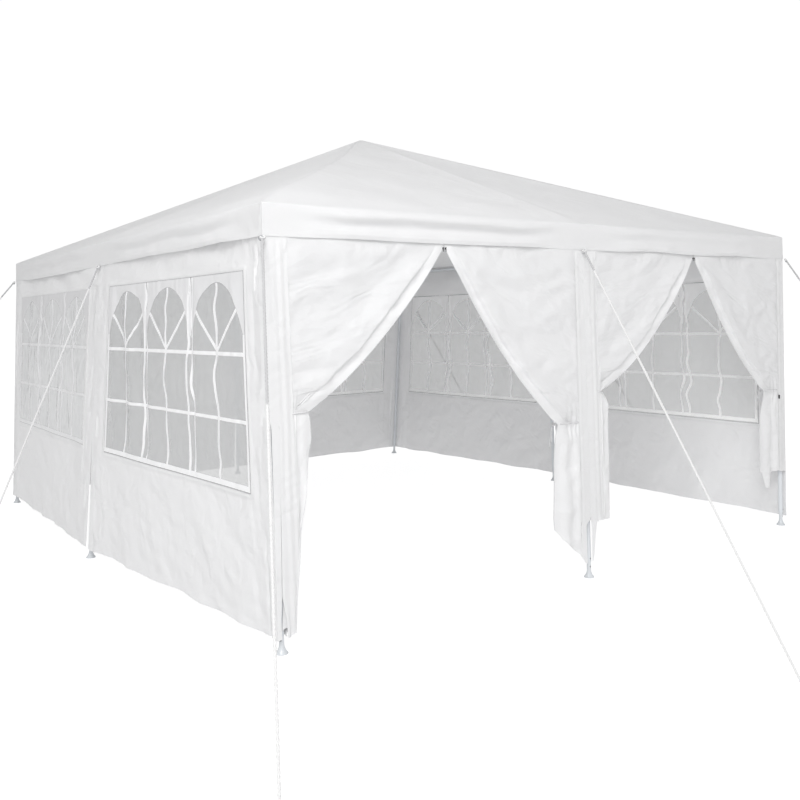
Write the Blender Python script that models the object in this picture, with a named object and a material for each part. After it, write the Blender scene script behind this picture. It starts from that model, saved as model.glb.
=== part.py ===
"""Marquee tent: a steel pole frame with a pyramid roof, window walls and two doorways.

The tent stands on the plane z = 0 with its centre over the origin. +X runs along the front,
from left to right as seen from outside, and +Y runs from the front to the back. Each side is
modelled in a frame of its own, an empty at the foot of the side, whose x axis runs along the
side, whose y axis points into the tent and whose z axis points up.
"""
import math

import bpy
from mathutils import Matrix, Vector

# Overall sizes, in metres
WIDTH = 4.0
DEPTH = 4.5
EAVE_HEIGHT = 1.98
PEAK_HEIGHT = 2.84
VALANCE_DROP = 0.15

# Clearances between pieces that touch
GAP = 0.0003
SEAM_GAP = 0.0006

# Fabric and window film
FABRIC = 0.002
FILM = 0.001
WALL_INSET = 0.0035
WALL_TOP = EAVE_HEIGHT - 0.03
HEM_HEIGHT = 0.065
WINDOW_SIDE_MARGIN = 0.205
WINDOW_BOTTOM = 0.68
WINDOW_TOP = 1.69

# Steel tubes
POST_RADIUS = 0.014
POST_BORE = 0.0128
FOOT_TUBE_RADIUS = 0.0115
FOOT_TUBE_BORE = 0.0100
FOOT_TUBE_HEIGHT = 0.085
FOOT_RIM_RADIUS = 0.029
FOOT_RIM_HEIGHT = 0.004
ROD_RADIUS = 0.0125
ROD_BORE = 0.0115
POST_SIDES = 16
ROD_SIDES = 12

# Push-fit joints
SLEEVE_RADIUS = 0.0160
SLEEVE_STEP = 0.0002
SLEEVE_LENGTH = 0.075
CROWN_SLEEVE_LENGTH = 0.095
SPIGOT_LENGTH = 0.03
POST_HEAD_GAP = 0.0015
POST_SPIGOT_RADIUS = 0.0121
ROD_SPIGOT_RADIUS = 0.0108
FRAME_INSET = 0.030
RAIL_DROP = 0.022
CROWN_DROP = 0.036
RAIL_HEIGHT = EAVE_HEIGHT - RAIL_DROP
CROWN_HEIGHT = PEAK_HEIGHT - CROWN_DROP

# How far the middle of a hip rafter hangs below a straight line, where its slim tube is bent
HIP_BOWS = {"front_left": 0.032}
BOW_STEPS = 16

# Guy ropes and their pegs
ROPE_RADIUS = 0.006
ROPE_SIDES = 8
ROPE_START_OUT = 0.012
ROPE_START_DROP = 0.004
ROPE_END_HEIGHT = 0.032
PEG_RADIUS = 0.006
PEG_HEIGHT = 0.055

# Where each post stands in plan, as signs of the half width and half depth, and how far its
# foot stands from under its head, because the light frame was pitched a little out of plumb
POSTS = {
    "front_left": ((-1, -1), (0.075, 0.040)),
    "front_middle": ((0, -1), (0.010, -0.010)),
    "front_right": ((1, -1), (-0.020, 0.015)),
    "right_middle": ((1, 0), (0.030, 0.000)),
    "back_right": ((1, 1), (-0.085, 0.080)),
    "back_middle": ((0, 1), (0.000, 0.020)),
    "back_left": ((-1, 1), (-0.045, -0.040)),
    "left_middle": ((-1, 0), (-0.095, 0.015)),
}

# How far each guy rope's peg stands from its post in plan
PEG_OFFSETS = {
    "front_left": (-0.607, -1.25),
    "front_middle": (-0.58, -1.60),
    "front_right": (0.75, -0.85),
    "right_middle": (1.05, -0.45),
    "back_right": (1.50, 0.40),
    "back_middle": (0.45, 1.60),
    "back_left": (-1.50, -0.30),
    "left_middle": (-0.92, -0.58),
}

# Each side: its turn about the vertical, its posts from its left end to its right end as seen
# from outside, and its two bays in the same order
SIDES = {
    "front": (0, ("front_left", "front_middle", "front_right"), ("left_bay", "right_bay")),
    "right": (90, ("front_right", "right_middle", "back_right"), ("front_bay", "back_bay")),
    "back": (180, ("back_right", "back_middle", "back_left"), ("right_bay", "left_bay")),
    "left": (270, ("back_left", "left_middle", "front_left"), ("back_bay", "front_bay")),
}

# The door leaves are drawn back and tied to the posts: the post, the way the leaf runs from it,
# the height of the tie and the cloth's reach there, the droop of the free edge above the tie,
# the height and reach of the free bottom corner, and the height of the hem at the post
DOOR_LEAVES = {
    "door_leaf_left_bay_left": ("front_left", 1, 1.05, 0.215, 0.065, 0.10, 0.130, HEM_HEIGHT),
    "door_leaf_left_bay_right": ("front_middle", -1, 0.87, 0.235, 0.100, 0.37, 0.275, HEM_HEIGHT),
    "door_leaf_right_bay_left": ("front_middle", 1, 1.03, 0.150, 0.105, 0.31, 0.165, HEM_HEIGHT),
    "door_leaf_right_bay_right": ("front_right", -1, 0.93, 0.280, 0.110, 0.39, 0.300, 0.365),
}
ZIP_TOP = 1.81
DOOR_HALF_WIDTH = WIDTH / 4
LEAF_POST_COVER = 0.055
LEAF_TIE_DEPTH = 0.040
LEAF_BUNDLE_DEPTH = 0.050
LEAF_HEM_DEPTH = 0.020
LEAF_HEM_REACH = 0.085
LEAF_EDGE_STEPS = 8

# Colour, roughness and metallic value of each finish
FINISHES = {
    "white_fabric": ((0.86, 0.87, 0.87, 1.0), 0.45, 0.0),
    "clear_film": ((0.80, 0.83, 0.84, 0.60), 0.12, 0.0),
    "steel_tube": ((0.55, 0.58, 0.61, 1.0), 0.38, 1.0),
    "steel_joint": ((0.60, 0.63, 0.65, 1.0), 0.42, 1.0),
    "white_rope": ((0.88, 0.88, 0.87, 1.0), 0.70, 0.0),
}


def make_finish(name):
    """Make one material with the colour and surface of a finish."""
    colour, roughness, metallic = FINISHES[name]
    material = bpy.data.materials.new(name)
    material.use_nodes = True
    shader = material.node_tree.nodes["Principled BSDF"]
    shader.inputs["Base Color"].default_value = colour
    shader.inputs["Roughness"].default_value = roughness
    shader.inputs["Metallic"].default_value = metallic
    shader.inputs["Alpha"].default_value = colour[3]
    return material


def new_object(name, mesh, material, matrix=None, parent=None, smooth=False):
    """Link an object made from a mesh, with its finish, its place and its parent."""
    piece = bpy.data.objects.new(name, mesh)
    bpy.context.collection.objects.link(piece)
    mesh.materials.clear()
    mesh.materials.append(material)
    if smooth:
        mesh.shade_smooth()
        mesh.set_sharp_from_angle(angle=math.radians(35))
    if parent is not None:
        piece.parent = parent
    if matrix is not None:
        piece.matrix_local = matrix
    return piece


def mesh_from(name, points, faces):
    """Make a mesh from its points and its faces."""
    mesh = bpy.data.meshes.new(name)
    mesh.from_pydata([tuple(point) for point in points], [], faces)
    mesh.update()
    return mesh


def loft_mesh(name, rings, through=False):
    """Join rings of equal length into one closed skin.

    The ends are capped, or with through the last ring is joined to the first, which makes a
    pipe wall out of its outer rings followed by its inner rings.
    """
    count = len(rings[0])
    points = [point for ring in rings for point in ring]
    faces = []
    steps = len(rings) if through else len(rings) - 1
    for step in range(steps):
        low = step * count
        high = ((step + 1) % len(rings)) * count
        for i in range(count):
            j = (i + 1) % count
            faces.append((low + i, low + j, high + j, high + i))
    if not through:
        faces.append(tuple(reversed(range(count))))
        faces.append(tuple(range(len(points) - count, len(points))))
    return mesh_from(name, points, faces)


def round_ring(centre, radius, sides):
    """Points round a level circle."""
    angles = [2 * math.pi * i / sides for i in range(sides)]
    return [centre + Vector((radius * math.cos(angle), radius * math.sin(angle), 0)) for angle in angles]


def pipe_mesh(name, length, radius, bore):
    """A pipe wall standing on the origin along z."""
    rings = [
        round_ring(Vector((0, 0, 0)), radius, ROD_SIDES),
        round_ring(Vector((0, 0, length)), radius, ROD_SIDES),
        round_ring(Vector((0, 0, length)), bore, ROD_SIDES),
        round_ring(Vector((0, 0, 0)), bore, ROD_SIDES),
    ]
    return loft_mesh(name, rings, through=True)


def branch_mesh(name, sleeve_radius, sleeve_length, spigot_radius):
    """A joint's branch along z: a solid sleeve, then the thinner spigot that a tube slips over."""
    top = sleeve_length + SPIGOT_LENGTH
    rings = [
        round_ring(Vector((0, 0, 0)), sleeve_radius, ROD_SIDES),
        round_ring(Vector((0, 0, sleeve_length)), sleeve_radius, ROD_SIDES),
        round_ring(Vector((0, 0, sleeve_length)), spigot_radius, ROD_SIDES),
        round_ring(Vector((0, 0, top)), spigot_radius, ROD_SIDES),
    ]
    return loft_mesh(name, rings)


def united_mesh(name, placed_meshes):
    """Weld several closed meshes, each with its own matrix, into one closed mesh."""
    helpers = []
    for index, (mesh, matrix) in enumerate(placed_meshes):
        mesh.transform(matrix)
        helper = bpy.data.objects.new(f"{name}_piece_{index}", mesh)
        bpy.context.collection.objects.link(helper)
        helpers.append(helper)
    body = helpers[0]
    for helper in helpers[1:]:
        union = body.modifiers.new("union", "BOOLEAN")
        union.operation = "UNION"
        union.solver = "EXACT"
        union.object = helper
    depsgraph = bpy.context.evaluated_depsgraph_get()
    united = bpy.data.meshes.new_from_object(body.evaluated_get(depsgraph))
    united.name = name
    for helper in helpers:
        bpy.data.objects.remove(helper)
    return united


def along(start, end):
    """A matrix that stands a piece made along z at start, pointing at end."""
    turn = (end - start).to_track_quat("Z", "Y").to_matrix().to_4x4()
    return Matrix.Translation(start) @ turn


def post_plan(name):
    """Where a post's axis meets the height of the rails, in plan."""
    (sign_x, sign_y), _ = POSTS[name]
    return Vector((sign_x * (WIDTH / 2 - FRAME_INSET), sign_y * (DEPTH / 2 - FRAME_INSET)))


def rail_point(name):
    """The middle of the joint on top of a post."""
    plan = post_plan(name)
    return Vector((plan.x, plan.y, RAIL_HEIGHT))


def crown_point():
    """The middle of the joint under the peak."""
    return Vector((0, 0, CROWN_HEIGHT))


def bowed_pipe_mesh(name, length, radius, bore, bow):
    """A pipe wall along z whose middle is moved by bow, while its ends stay in line."""
    stations = []
    for step in range(BOW_STEPS + 1):
        share = step / BOW_STEPS
        stations.append(bow * (1 - math.cos(2 * math.pi * share)) / 2 + Vector((0, 0, length * share)))
    rings = [round_ring(centre, radius, ROD_SIDES) for centre in stations]
    rings += [round_ring(centre, bore, ROD_SIDES) for centre in reversed(stations)]
    return loft_mesh(name, rings, through=True)


def rod_between(name, start, end, start_sleeve, end_sleeve, material, drop=0.0):
    """A tube between two joints, its ends just clear of their sleeves, and its middle lower by drop."""
    direction = (end - start).normalized()
    first = start + direction * (start_sleeve + GAP)
    last = end - direction * (end_sleeve + GAP)
    place = along(first, last)
    length = (last - first).length
    if drop:
        down = place.to_3x3().inverted() @ Vector((0, 0, -1))
        bow = Vector((down.x, down.y, 0)).normalized() * drop
        mesh = bowed_pipe_mesh(name, length, ROD_RADIUS, ROD_BORE, bow)
    else:
        mesh = pipe_mesh(name, length, ROD_RADIUS, ROD_BORE)
    return new_object(name, mesh, material, place, smooth=True)


def post_direction(post):
    """The way down a post from the joint on its top to its foot."""
    return Vector((*POSTS[post][1], -RAIL_HEIGHT)).normalized()


def make_post(post, material):
    """A post: a flared round foot, a foot tube and the main tube, open at its top."""
    name = f"post_{post}"
    lean = Vector((*POSTS[post][1], 0))
    plan = post_plan(post)
    top = RAIL_HEIGHT - SLEEVE_LENGTH - POST_HEAD_GAP
    # Height and radius of each ring, up the outside and down the bore
    outside = [
        (0, FOOT_RIM_RADIUS),
        (FOOT_RIM_HEIGHT, FOOT_RIM_RADIUS),
        (0.009, 0.0245),
        (0.017, 0.0185),
        (0.027, 0.0145),
        (0.038, FOOT_TUBE_RADIUS),
        (FOOT_TUBE_HEIGHT, FOOT_TUBE_RADIUS),
        (FOOT_TUBE_HEIGHT, POST_RADIUS),
        (top, POST_RADIUS),
    ]
    bore = [
        (top, POST_BORE),
        (FOOT_TUBE_HEIGHT + 0.004, POST_BORE),
        (FOOT_TUBE_HEIGHT + 0.004, FOOT_TUBE_BORE),
        (0.02, FOOT_TUBE_BORE),
    ]
    rings = []
    for height, radius in outside + bore:
        centre = -lean * (height / RAIL_HEIGHT)
        centre.z = height
        rings.append(round_ring(centre, radius, POST_SIDES))
    foot = Vector((plan.x, plan.y, 0)) + lean
    mesh = loft_mesh(name, rings)
    return new_object(name, mesh, material, Matrix.Translation(foot), smooth=True)


def placed_branch(name, direction, order, sleeve_length, spigot_radius):
    """One branch of a joint and its place.

    Each branch of a joint starts a little further behind the middle than the one before and is
    a little slimmer, so that no two sleeves meet in a common line or plane.
    """
    behind = SLEEVE_RADIUS * (0.4 + 0.07 * order)
    mesh = branch_mesh(name, SLEEVE_RADIUS - SLEEVE_STEP * order, sleeve_length + behind, spigot_radius)
    return mesh, along(-direction * behind, direction)


def make_corner_joint(name, corner, material):
    """A corner joint with branches to the post, to both rails and to the hip rafter."""
    centre = rail_point(corner)
    (sign_x, sign_y), _ = POSTS[corner]
    branches = [
        (post_direction(corner), POST_SPIGOT_RADIUS),
        (Vector((-sign_x, 0, 0)), ROD_SPIGOT_RADIUS),
        (Vector((0, -sign_y, 0)), ROD_SPIGOT_RADIUS),
        ((crown_point() - centre).normalized(), ROD_SPIGOT_RADIUS),
    ]
    placed = []
    for order, (direction, spigot) in enumerate(branches):
        placed.append(placed_branch(name, direction, order, SLEEVE_LENGTH, spigot))
    return new_object(name, united_mesh(name, placed), material, Matrix.Translation(centre), smooth=True)


def make_crown_joint(material):
    """The joint under the peak, with a branch to each of the eight rafters."""
    centre = crown_point()
    placed = []
    for order, post in enumerate(POSTS):
        direction = (rail_point(post) - centre).normalized()
        placed.append(placed_branch("crown_joint", direction, order, CROWN_SLEEVE_LENGTH, ROD_SPIGOT_RADIUS))
    mesh = united_mesh("crown_joint", placed)
    return new_object("crown_joint", mesh, material, Matrix.Translation(centre), smooth=True)


def side_length(side):
    """The length of a side between the corners of the fabric."""
    return WIDTH if side in ("front", "back") else DEPTH


def side_depth(side):
    """The distance from a side to the middle of the tent."""
    return side_length("left" if side in ("front", "back") else "front") / 2


def make_side_frame(side):
    """An empty at the foot of a side, which carries the side's pieces."""
    turn = Matrix.Rotation(math.radians(SIDES[side][0]), 4, "Z")
    empty = bpy.data.objects.new(f"{side}_side", None)
    bpy.context.collection.objects.link(empty)
    empty.matrix_local = turn @ Matrix.Translation(Vector((0, -side_depth(side), 0)))
    return empty


def make_eave_rail(side, frame, material):
    """The rail under one eave: a tube with the middle joint's sleeve and branches welded on."""
    name = f"eave_rail_{side}"
    half = side_length(side) / 2 - FRAME_INSET - SLEEVE_LENGTH - GAP
    profile = [
        (-half, ROD_RADIUS),
        (-SLEEVE_LENGTH, ROD_RADIUS),
        (-SLEEVE_LENGTH, SLEEVE_RADIUS),
        (SLEEVE_LENGTH, SLEEVE_RADIUS),
        (SLEEVE_LENGTH, ROD_RADIUS),
        (half, ROD_RADIUS),
        (half, ROD_BORE),
        (-half, ROD_BORE),
    ]
    rings = [round_ring(Vector((0, 0, place)), radius, ROD_SIDES) for place, radius in profile]
    lie_along_x = Matrix.Rotation(math.radians(90), 4, "Y")
    placed = [(loft_mesh(name, rings, through=True), lie_along_x)]
    rise = Vector((0, side_depth(side) - FRAME_INSET, CROWN_HEIGHT - RAIL_HEIGHT)).normalized()
    down = Matrix.Rotation(-math.radians(SIDES[side][0]), 3, "Z") @ post_direction(SIDES[side][1][1])
    branches = [(down, POST_SPIGOT_RADIUS), (rise, ROD_SPIGOT_RADIUS)]
    for order, (direction, spigot) in enumerate(branches, start=1):
        placed.append(placed_branch(name, direction, order, SLEEVE_LENGTH, spigot))
    place = Matrix.Translation(Vector((0, FRAME_INSET, RAIL_HEIGHT)))
    return new_object(name, united_mesh(name, placed), material, place, frame, smooth=True)


def make_roof_panel(side, frame, material):
    """One triangular roof panel with the valance that hangs from its eave."""
    name = f"roof_panel_{side}"
    depth = side_depth(side)
    spread = side_length(side) / 2 / depth
    rise = PEAK_HEIGHT - EAVE_HEIGHT
    tip = SEAM_GAP / 2 / spread
    # Distance from the middle of the tent and height, from the peak over the eave to the
    # valance's hem on the outside, and back to the peak on the inside
    profile = [
        (tip, PEAK_HEIGHT - rise * tip / depth),
        (depth, EAVE_HEIGHT),
        (depth, EAVE_HEIGHT - VALANCE_DROP),
        (depth - FABRIC, EAVE_HEIGHT - VALANCE_DROP),
        (depth - FABRIC, EAVE_HEIGHT - FABRIC + rise * FABRIC / depth),
        (tip, PEAK_HEIGHT - FABRIC - rise * tip / depth),
    ]
    points = []
    for sign in (-1, 1):
        for distance, height in profile:
            reach = distance * spread - SEAM_GAP / 2
            points.append(Vector((sign * reach, depth - distance, height)))
    count = len(profile)
    right_tip_top, right_tip_low = count, 2 * count - 1
    # Both tips are single points, so the panel ends in a true corner at the peak
    merged = {right_tip_top: 0, right_tip_low: count - 1}
    faces = [(0, 1, count + 1)]
    faces += [(i, i + 1, count + i + 1, count + i) for i in range(1, count - 2)]
    faces.append((count - 2, count - 1, 2 * count - 2))
    faces.append(tuple(reversed(range(count))))
    faces.append(tuple(merged.get(i, i) for i in range(count, 2 * count)))
    kept = [i for i in range(len(points)) if i not in merged]
    number = {old: new for new, old in enumerate(kept)}
    faces = [tuple(number[i] for i in face) for face in faces]
    mesh = mesh_from(name, [points[i] for i in kept], faces)
    return new_object(name, mesh, material, parent=frame)


def local_lean(side, post, height):
    """How far a post's line has moved from plumb at a height, in the side's frame."""
    hang = EAVE_HEIGHT - VALANCE_DROP
    share = min(max((hang - height) / hang, 0), 1)
    lean = Vector((*POSTS[post][1], 0)) * share
    return Matrix.Rotation(-math.radians(SIDES[side][0]), 3, "Z") @ lean


def wall_line(side, post, toward, height):
    """Where a wall panel's end stands at a height, beside a post and toward its other post."""
    posts = SIDES[side][1]
    place = (posts.index(post) - 1) * side_length(side) / 2
    if place == 0:
        place += toward * SEAM_GAP / 2
    elif side in ("front", "back"):
        place += toward * (WALL_INSET + FABRIC + GAP)
    else:
        place += toward * WALL_INSET
    return Vector((place, WALL_INSET, 0)) + local_lean(side, post, height) + Vector((0, 0, height))


def slab_mesh(name, place, across, heights, thickness, open_cells=()):
    """A thin slab on a grid of places, with the cells of the grid in open_cells left open.

    The slab may be twisted, so each cell is two flat triangles that share one diagonal.
    """
    columns = len(across)
    rows = len(heights)
    points = []
    for inward in (0, thickness):
        for height in heights:
            for share in across:
                points.append(place(share, height) + Vector((0, inward, 0)))
    layer = columns * rows

    def index(column, row, side):
        return side * layer + row * columns + column

    cells = {(c, r) for c in range(columns - 1) for r in range(rows - 1)} - set(open_cells)
    faces = []
    for c, r in sorted(cells):
        corners = [(c, r), (c + 1, r), (c + 1, r + 1), (c, r + 1)]
        for half in ((0, 1, 2), (0, 2, 3)):
            faces.append(tuple(index(*corners[i], 0) for i in half))
            faces.append(tuple(index(*corners[i], 1) for i in reversed(half)))
        neighbours = [(c, r - 1), (c + 1, r), (c, r + 1), (c - 1, r)]
        for edge, neighbour in enumerate(neighbours):
            if neighbour not in cells:
                first = corners[edge]
                second = corners[(edge + 1) % 4]
                rim = (index(*second, 0), index(*first, 0), index(*first, 1), index(*second, 1))
                faces.append(rim[:3])
                faces.append((rim[0], rim[2], rim[3]))
    return mesh_from(name, points, faces)


def make_window_wall(side, bay, frame, fabric, film):
    """A wall panel between two posts, with its window cut through, and the film in the window."""
    first, second = SIDES[side][1][bay:bay + 2]
    length = side_length(side) / 2
    margin = WINDOW_SIDE_MARGIN / length

    def place(share, height):
        start = wall_line(side, first, 1, height)
        end = wall_line(side, second, -1, height)
        return start.lerp(end, share)

    def film_place(share, height):
        return place(share, height) + Vector((0, (FABRIC - FILM) / 2, 0))

    bay_name = SIDES[side][2][bay]
    across = (0, margin, 0.5, 1 - margin, 1)
    heights = (HEM_HEIGHT, WINDOW_BOTTOM, WINDOW_TOP, EAVE_HEIGHT - VALANCE_DROP, WALL_TOP)
    wall_name = f"{side}_wall_{bay_name}"
    wall = slab_mesh(wall_name, place, across, heights, FABRIC, open_cells=((1, 1), (2, 1)))
    new_object(wall_name, wall, fabric, parent=frame)
    film_name = f"{side}_window_{bay_name}"
    clear = SEAM_GAP / length
    film_across = (margin + clear, 0.5, 1 - margin - clear)
    film_heights = (WINDOW_BOTTOM + SEAM_GAP, (WINDOW_BOTTOM + WINDOW_TOP) / 2, WINDOW_TOP - SEAM_GAP)
    pane = slab_mesh(film_name, film_place, film_across, film_heights, FILM)
    new_object(film_name, pane, film, parent=frame)


def leaf_sections(tie_height, tie_reach, droop, corner_height, corner_reach, post_hem):
    """Height, reach and depth of a drawn-back leaf, from its top down to its hem."""
    full = DOOR_HALF_WIDTH - WALL_INSET - FABRIC - GAP - SEAM_GAP
    sections = [(WALL_TOP, full, FABRIC)]
    for step in range(LEAF_EDGE_STEPS, 0, -1):
        share = step / LEAF_EDGE_STEPS
        reach = tie_reach + (full - tie_reach) * share
        height = tie_height + (ZIP_TOP - tie_height) * share - 4 * droop * share * (1 - share)
        depth = FABRIC + (LEAF_TIE_DEPTH - FABRIC) * (1 - share) ** 3
        sections.append((height, reach, depth))
    sections.append((tie_height, tie_reach, LEAF_TIE_DEPTH))
    middle = (tie_height + corner_height) / 2
    sections.append((middle, max(tie_reach, corner_reach), LEAF_BUNDLE_DEPTH))
    sections.append((corner_height, corner_reach, LEAF_BUNDLE_DEPTH * 0.8))
    sections.append((post_hem, min(corner_reach, LEAF_HEM_REACH), LEAF_HEM_DEPTH))
    return sections


def make_door_leaf(name, frame, material):
    """One door leaf, hung from the eave rail, drawn back to its post and tied."""
    post, toward, *shape = DOOR_LEAVES[name]
    rings = []
    for height, reach, depth in leaf_sections(*shape):
        start = wall_line("front", post, toward, height)
        fold = min(depth * 0.4, 0.012)
        outline = [
            (0, 0),
            (reach - fold, 0),
            (reach, depth * 0.5),
            (reach - fold, depth),
            (LEAF_POST_COVER + 0.006, depth),
            (LEAF_POST_COVER, FABRIC),
            (0, FABRIC),
        ]
        ring = [start + Vector((toward * out, inward, 0)) for out, inward in outline]
        rings.append(ring if toward < 0 else ring[::-1])
    return new_object(name, loft_mesh(name, rings), material, parent=frame)


def make_guy_rope(post, material):
    """A taut rope from the foot of the valance at a post to the head of its peg."""
    name = f"guy_rope_{post}"
    (sign_x, sign_y), _ = POSTS[post]
    corner = Vector((sign_x * WIDTH / 2, sign_y * DEPTH / 2, EAVE_HEIGHT - VALANCE_DROP))
    offset = Vector((*PEG_OFFSETS[post], 0))
    peg = Vector((corner.x, corner.y, 0)) + offset
    start = corner + offset.normalized() * ROPE_START_OUT - Vector((0, 0, ROPE_START_DROP))
    end = peg + Vector((0, 0, ROPE_END_HEIGHT))
    origin = Vector((0, 0, 0))
    rope_rings = [
        round_ring(origin, ROPE_RADIUS, ROPE_SIDES),
        round_ring(Vector((0, 0, (start - end).length)), ROPE_RADIUS, ROPE_SIDES),
    ]
    peg_rings = [
        round_ring(Vector((0, 0, height)), PEG_RADIUS, ROD_SIDES)
        for height in (0, PEG_HEIGHT)
    ]
    placed = [
        (loft_mesh(name, peg_rings), Matrix()),
        (loft_mesh(name, rope_rings), along(end - peg, start - peg)),
    ]
    return new_object(name, united_mesh(name, placed), material, Matrix.Translation(peg), smooth=True)


def main():
    """Clear the scene and build the tent."""
    for leftover in list(bpy.data.objects):
        bpy.data.objects.remove(leftover)
    finish = {name: make_finish(name) for name in FINISHES}
    for post, (signs, _) in POSTS.items():
        is_corner = 0 not in signs
        make_post(post, finish["steel_tube"])
        if is_corner:
            make_corner_joint(f"corner_joint_{post}", post, finish["steel_joint"])
        rafter = f"hip_rafter_{post}" if is_corner else f"middle_rafter_{post.removesuffix('_middle')}"
        rod_between(
            rafter,
            rail_point(post),
            crown_point(),
            SLEEVE_LENGTH,
            CROWN_SLEEVE_LENGTH,
            finish["steel_tube"],
            HIP_BOWS.get(post, 0.0),
        )
        make_guy_rope(post, finish["white_rope"])
    make_crown_joint(finish["steel_joint"])
    for side in SIDES:
        frame = make_side_frame(side)
        make_eave_rail(side, frame, finish["steel_tube"])
        make_roof_panel(side, frame, finish["white_fabric"])
        if side == "front":
            for leaf in DOOR_LEAVES:
                make_door_leaf(leaf, frame, finish["white_fabric"])
        else:
            for bay in (0, 1):
                make_window_wall(side, bay, frame, finish["white_fabric"], finish["clear_film"])


main()
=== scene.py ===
"""Marquee tent: the canopy, window walls, door leaves, ties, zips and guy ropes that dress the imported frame.

The tent stands on z = 0 with its centre over the origin, +X along the front and +Y from the front to the
back. Each side has coordinates of its own: along, from its left end to its right end as seen from outside and
0 in its middle, inward, into the tent from the fabric's outer face, and height.
"""
import math

import bmesh
import bpy
import numpy as np
from bpy.props import FloatProperty, FloatVectorProperty, IntProperty, PointerProperty
from mathutils import Matrix, Vector


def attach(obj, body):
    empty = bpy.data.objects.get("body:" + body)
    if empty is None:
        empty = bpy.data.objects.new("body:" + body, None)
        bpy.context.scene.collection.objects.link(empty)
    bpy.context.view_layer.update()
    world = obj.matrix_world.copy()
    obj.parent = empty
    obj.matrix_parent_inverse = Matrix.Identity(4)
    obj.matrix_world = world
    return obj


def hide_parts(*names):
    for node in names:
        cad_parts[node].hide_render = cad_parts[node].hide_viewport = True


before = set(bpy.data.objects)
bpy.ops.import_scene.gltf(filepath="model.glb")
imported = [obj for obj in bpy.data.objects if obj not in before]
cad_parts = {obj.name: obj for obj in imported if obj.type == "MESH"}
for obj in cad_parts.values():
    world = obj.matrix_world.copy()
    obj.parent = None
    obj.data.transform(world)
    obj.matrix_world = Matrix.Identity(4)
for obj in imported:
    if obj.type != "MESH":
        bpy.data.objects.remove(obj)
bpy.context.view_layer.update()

bl_info = {
    "name": "Marquee tent",
    "version": (1, 0, 0),
    "blender": (4, 5, 0),
    "location": "3D View > Sidebar > Marquee",
    "description": "Dresses a marquee tent's frame with its fabric, windows, doors and ropes",
    "category": "Object",
}

# Overall sizes in metres, the same as the frame's
WIDTH = 4.0
DEPTH = 4.5
EAVE_HEIGHT = 1.98
PEAK_HEIGHT = 2.84
VALANCE_FOOT = 1.83
WALL_TOP = 1.95
WALL_INSET = 0.0035
HEM_HEIGHT = 0.065
POST_INSET = 0.030
RAIL_HEIGHT = 1.958
SHEET = 0.0012

# How far a wall or a leaf stays off the middle of a side's middle post, and off each side's end
MIDDLE_INSET = 0.0003
END_INSETS = {"front": 0.0048, "right": 0.0035, "back": 0.0058, "left": 0.0035}

# Steps of the sheets' grids, along the eave and then out or up; a leaf's along its band, above its tie and below
CANOPY_GRID = (0.042, 0.0185)
WALL_GRID = (0.0165, 0.0175)
FILM_GRID = (0.014, 0.036)
LEAF_GRID = (0.0085, 0.0144, 0.0156)

# The window in each bay, and the pattern printed on its film
WINDOW_MARGIN = 0.205
WINDOW_BOTTOM = 0.68
WINDOW_TOP = 1.69
LIGHTS = 3
# Distances from the window of its binding's outer edge and of the foot of that edge
BINDING_EDGES = (0.022, 0.020)
# The bay whose film looks milky: hazier, and lighter as a painted reflection of the pale surroundings at its grazing
# view; and the one whose seam looks dark
HAZY_PAINTED_GLARE_BAY = ("left", 0)
# That bay's seam is dark grey, a painted shadow line along the film's edge
PAINTED_SHADOW_SEAM_BAY = ("left", 1)
# Heights of the two long printed bars, and the width of a light that the pattern's sizes are given for
LONG_BARS = (1.310, 1.000)
PATTERN_WIDTH = 0.613
# An arched light's printed outline: distances from the light's middle, and its height there
ARCH = (
    (0, 1.652), (0.035, 1.649), (0.07, 1.641), (0.115, 1.625), (0.165, 1.598), (0.20, 1.570),
    (0.229, 1.525), (0.255, 1.475), (0.275, 1.430), (0.290, 1.395), (0.305, 1.365),
)

# Each post: its place as signs of the half width and half depth, and how far its foot leans out of plumb
POSTS = {
    "front_left": ((-1, -1), (0.075, 0.040)),
    "front_middle": ((0, -1), (0.010, -0.010)),
    "front_right": ((1, -1), (-0.020, 0.015)),
    "right_middle": ((1, 0), (0.030, 0.000)),
    "back_right": ((1, 1), (-0.085, 0.080)),
    "back_middle": ((0, 1), (0.000, 0.020)),
    "back_left": ((-1, 1), (-0.045, -0.040)),
    "left_middle": ((-1, 0), (-0.095, 0.015)),
}
# How far each post's peg stands out from the corner or middle of the eave above the post
PEG_OFFSETS = {
    "front_left": (-0.607, -1.25),
    "front_middle": (-0.58, -1.60),
    "front_right": (0.75, -0.85),
    "right_middle": (1.05, -0.45),
    "back_right": (1.50, 0.40),
    "back_middle": (0.45, 1.60),
    "back_left": (-1.50, -0.30),
    "left_middle": (-0.92, -0.58),
}
# Each side: its turn about the vertical, half its length, which is also the length of one bay, its distance from
# the middle, its posts and its bays
SIDES = {
    "front": (0, WIDTH / 2, DEPTH / 2, ("front_left", "front_middle", "front_right"), ()),
    "right": (90, DEPTH / 2, WIDTH / 2, ("front_right", "right_middle", "back_right"), ("front_bay", "back_bay")),
    "back": (180, WIDTH / 2, DEPTH / 2, ("back_right", "back_middle", "back_left"), ("right_bay", "left_bay")),
    "left": (270, DEPTH / 2, WIDTH / 2, ("back_left", "left_middle", "front_left"), ("back_bay", "front_bay")),
}
# How far from the far corner's post the wall sheet lets more light through, painted light that lifts the shade round
# that post
PAINTED_LIGHT_CORNER_REACH = 0.17
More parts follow.
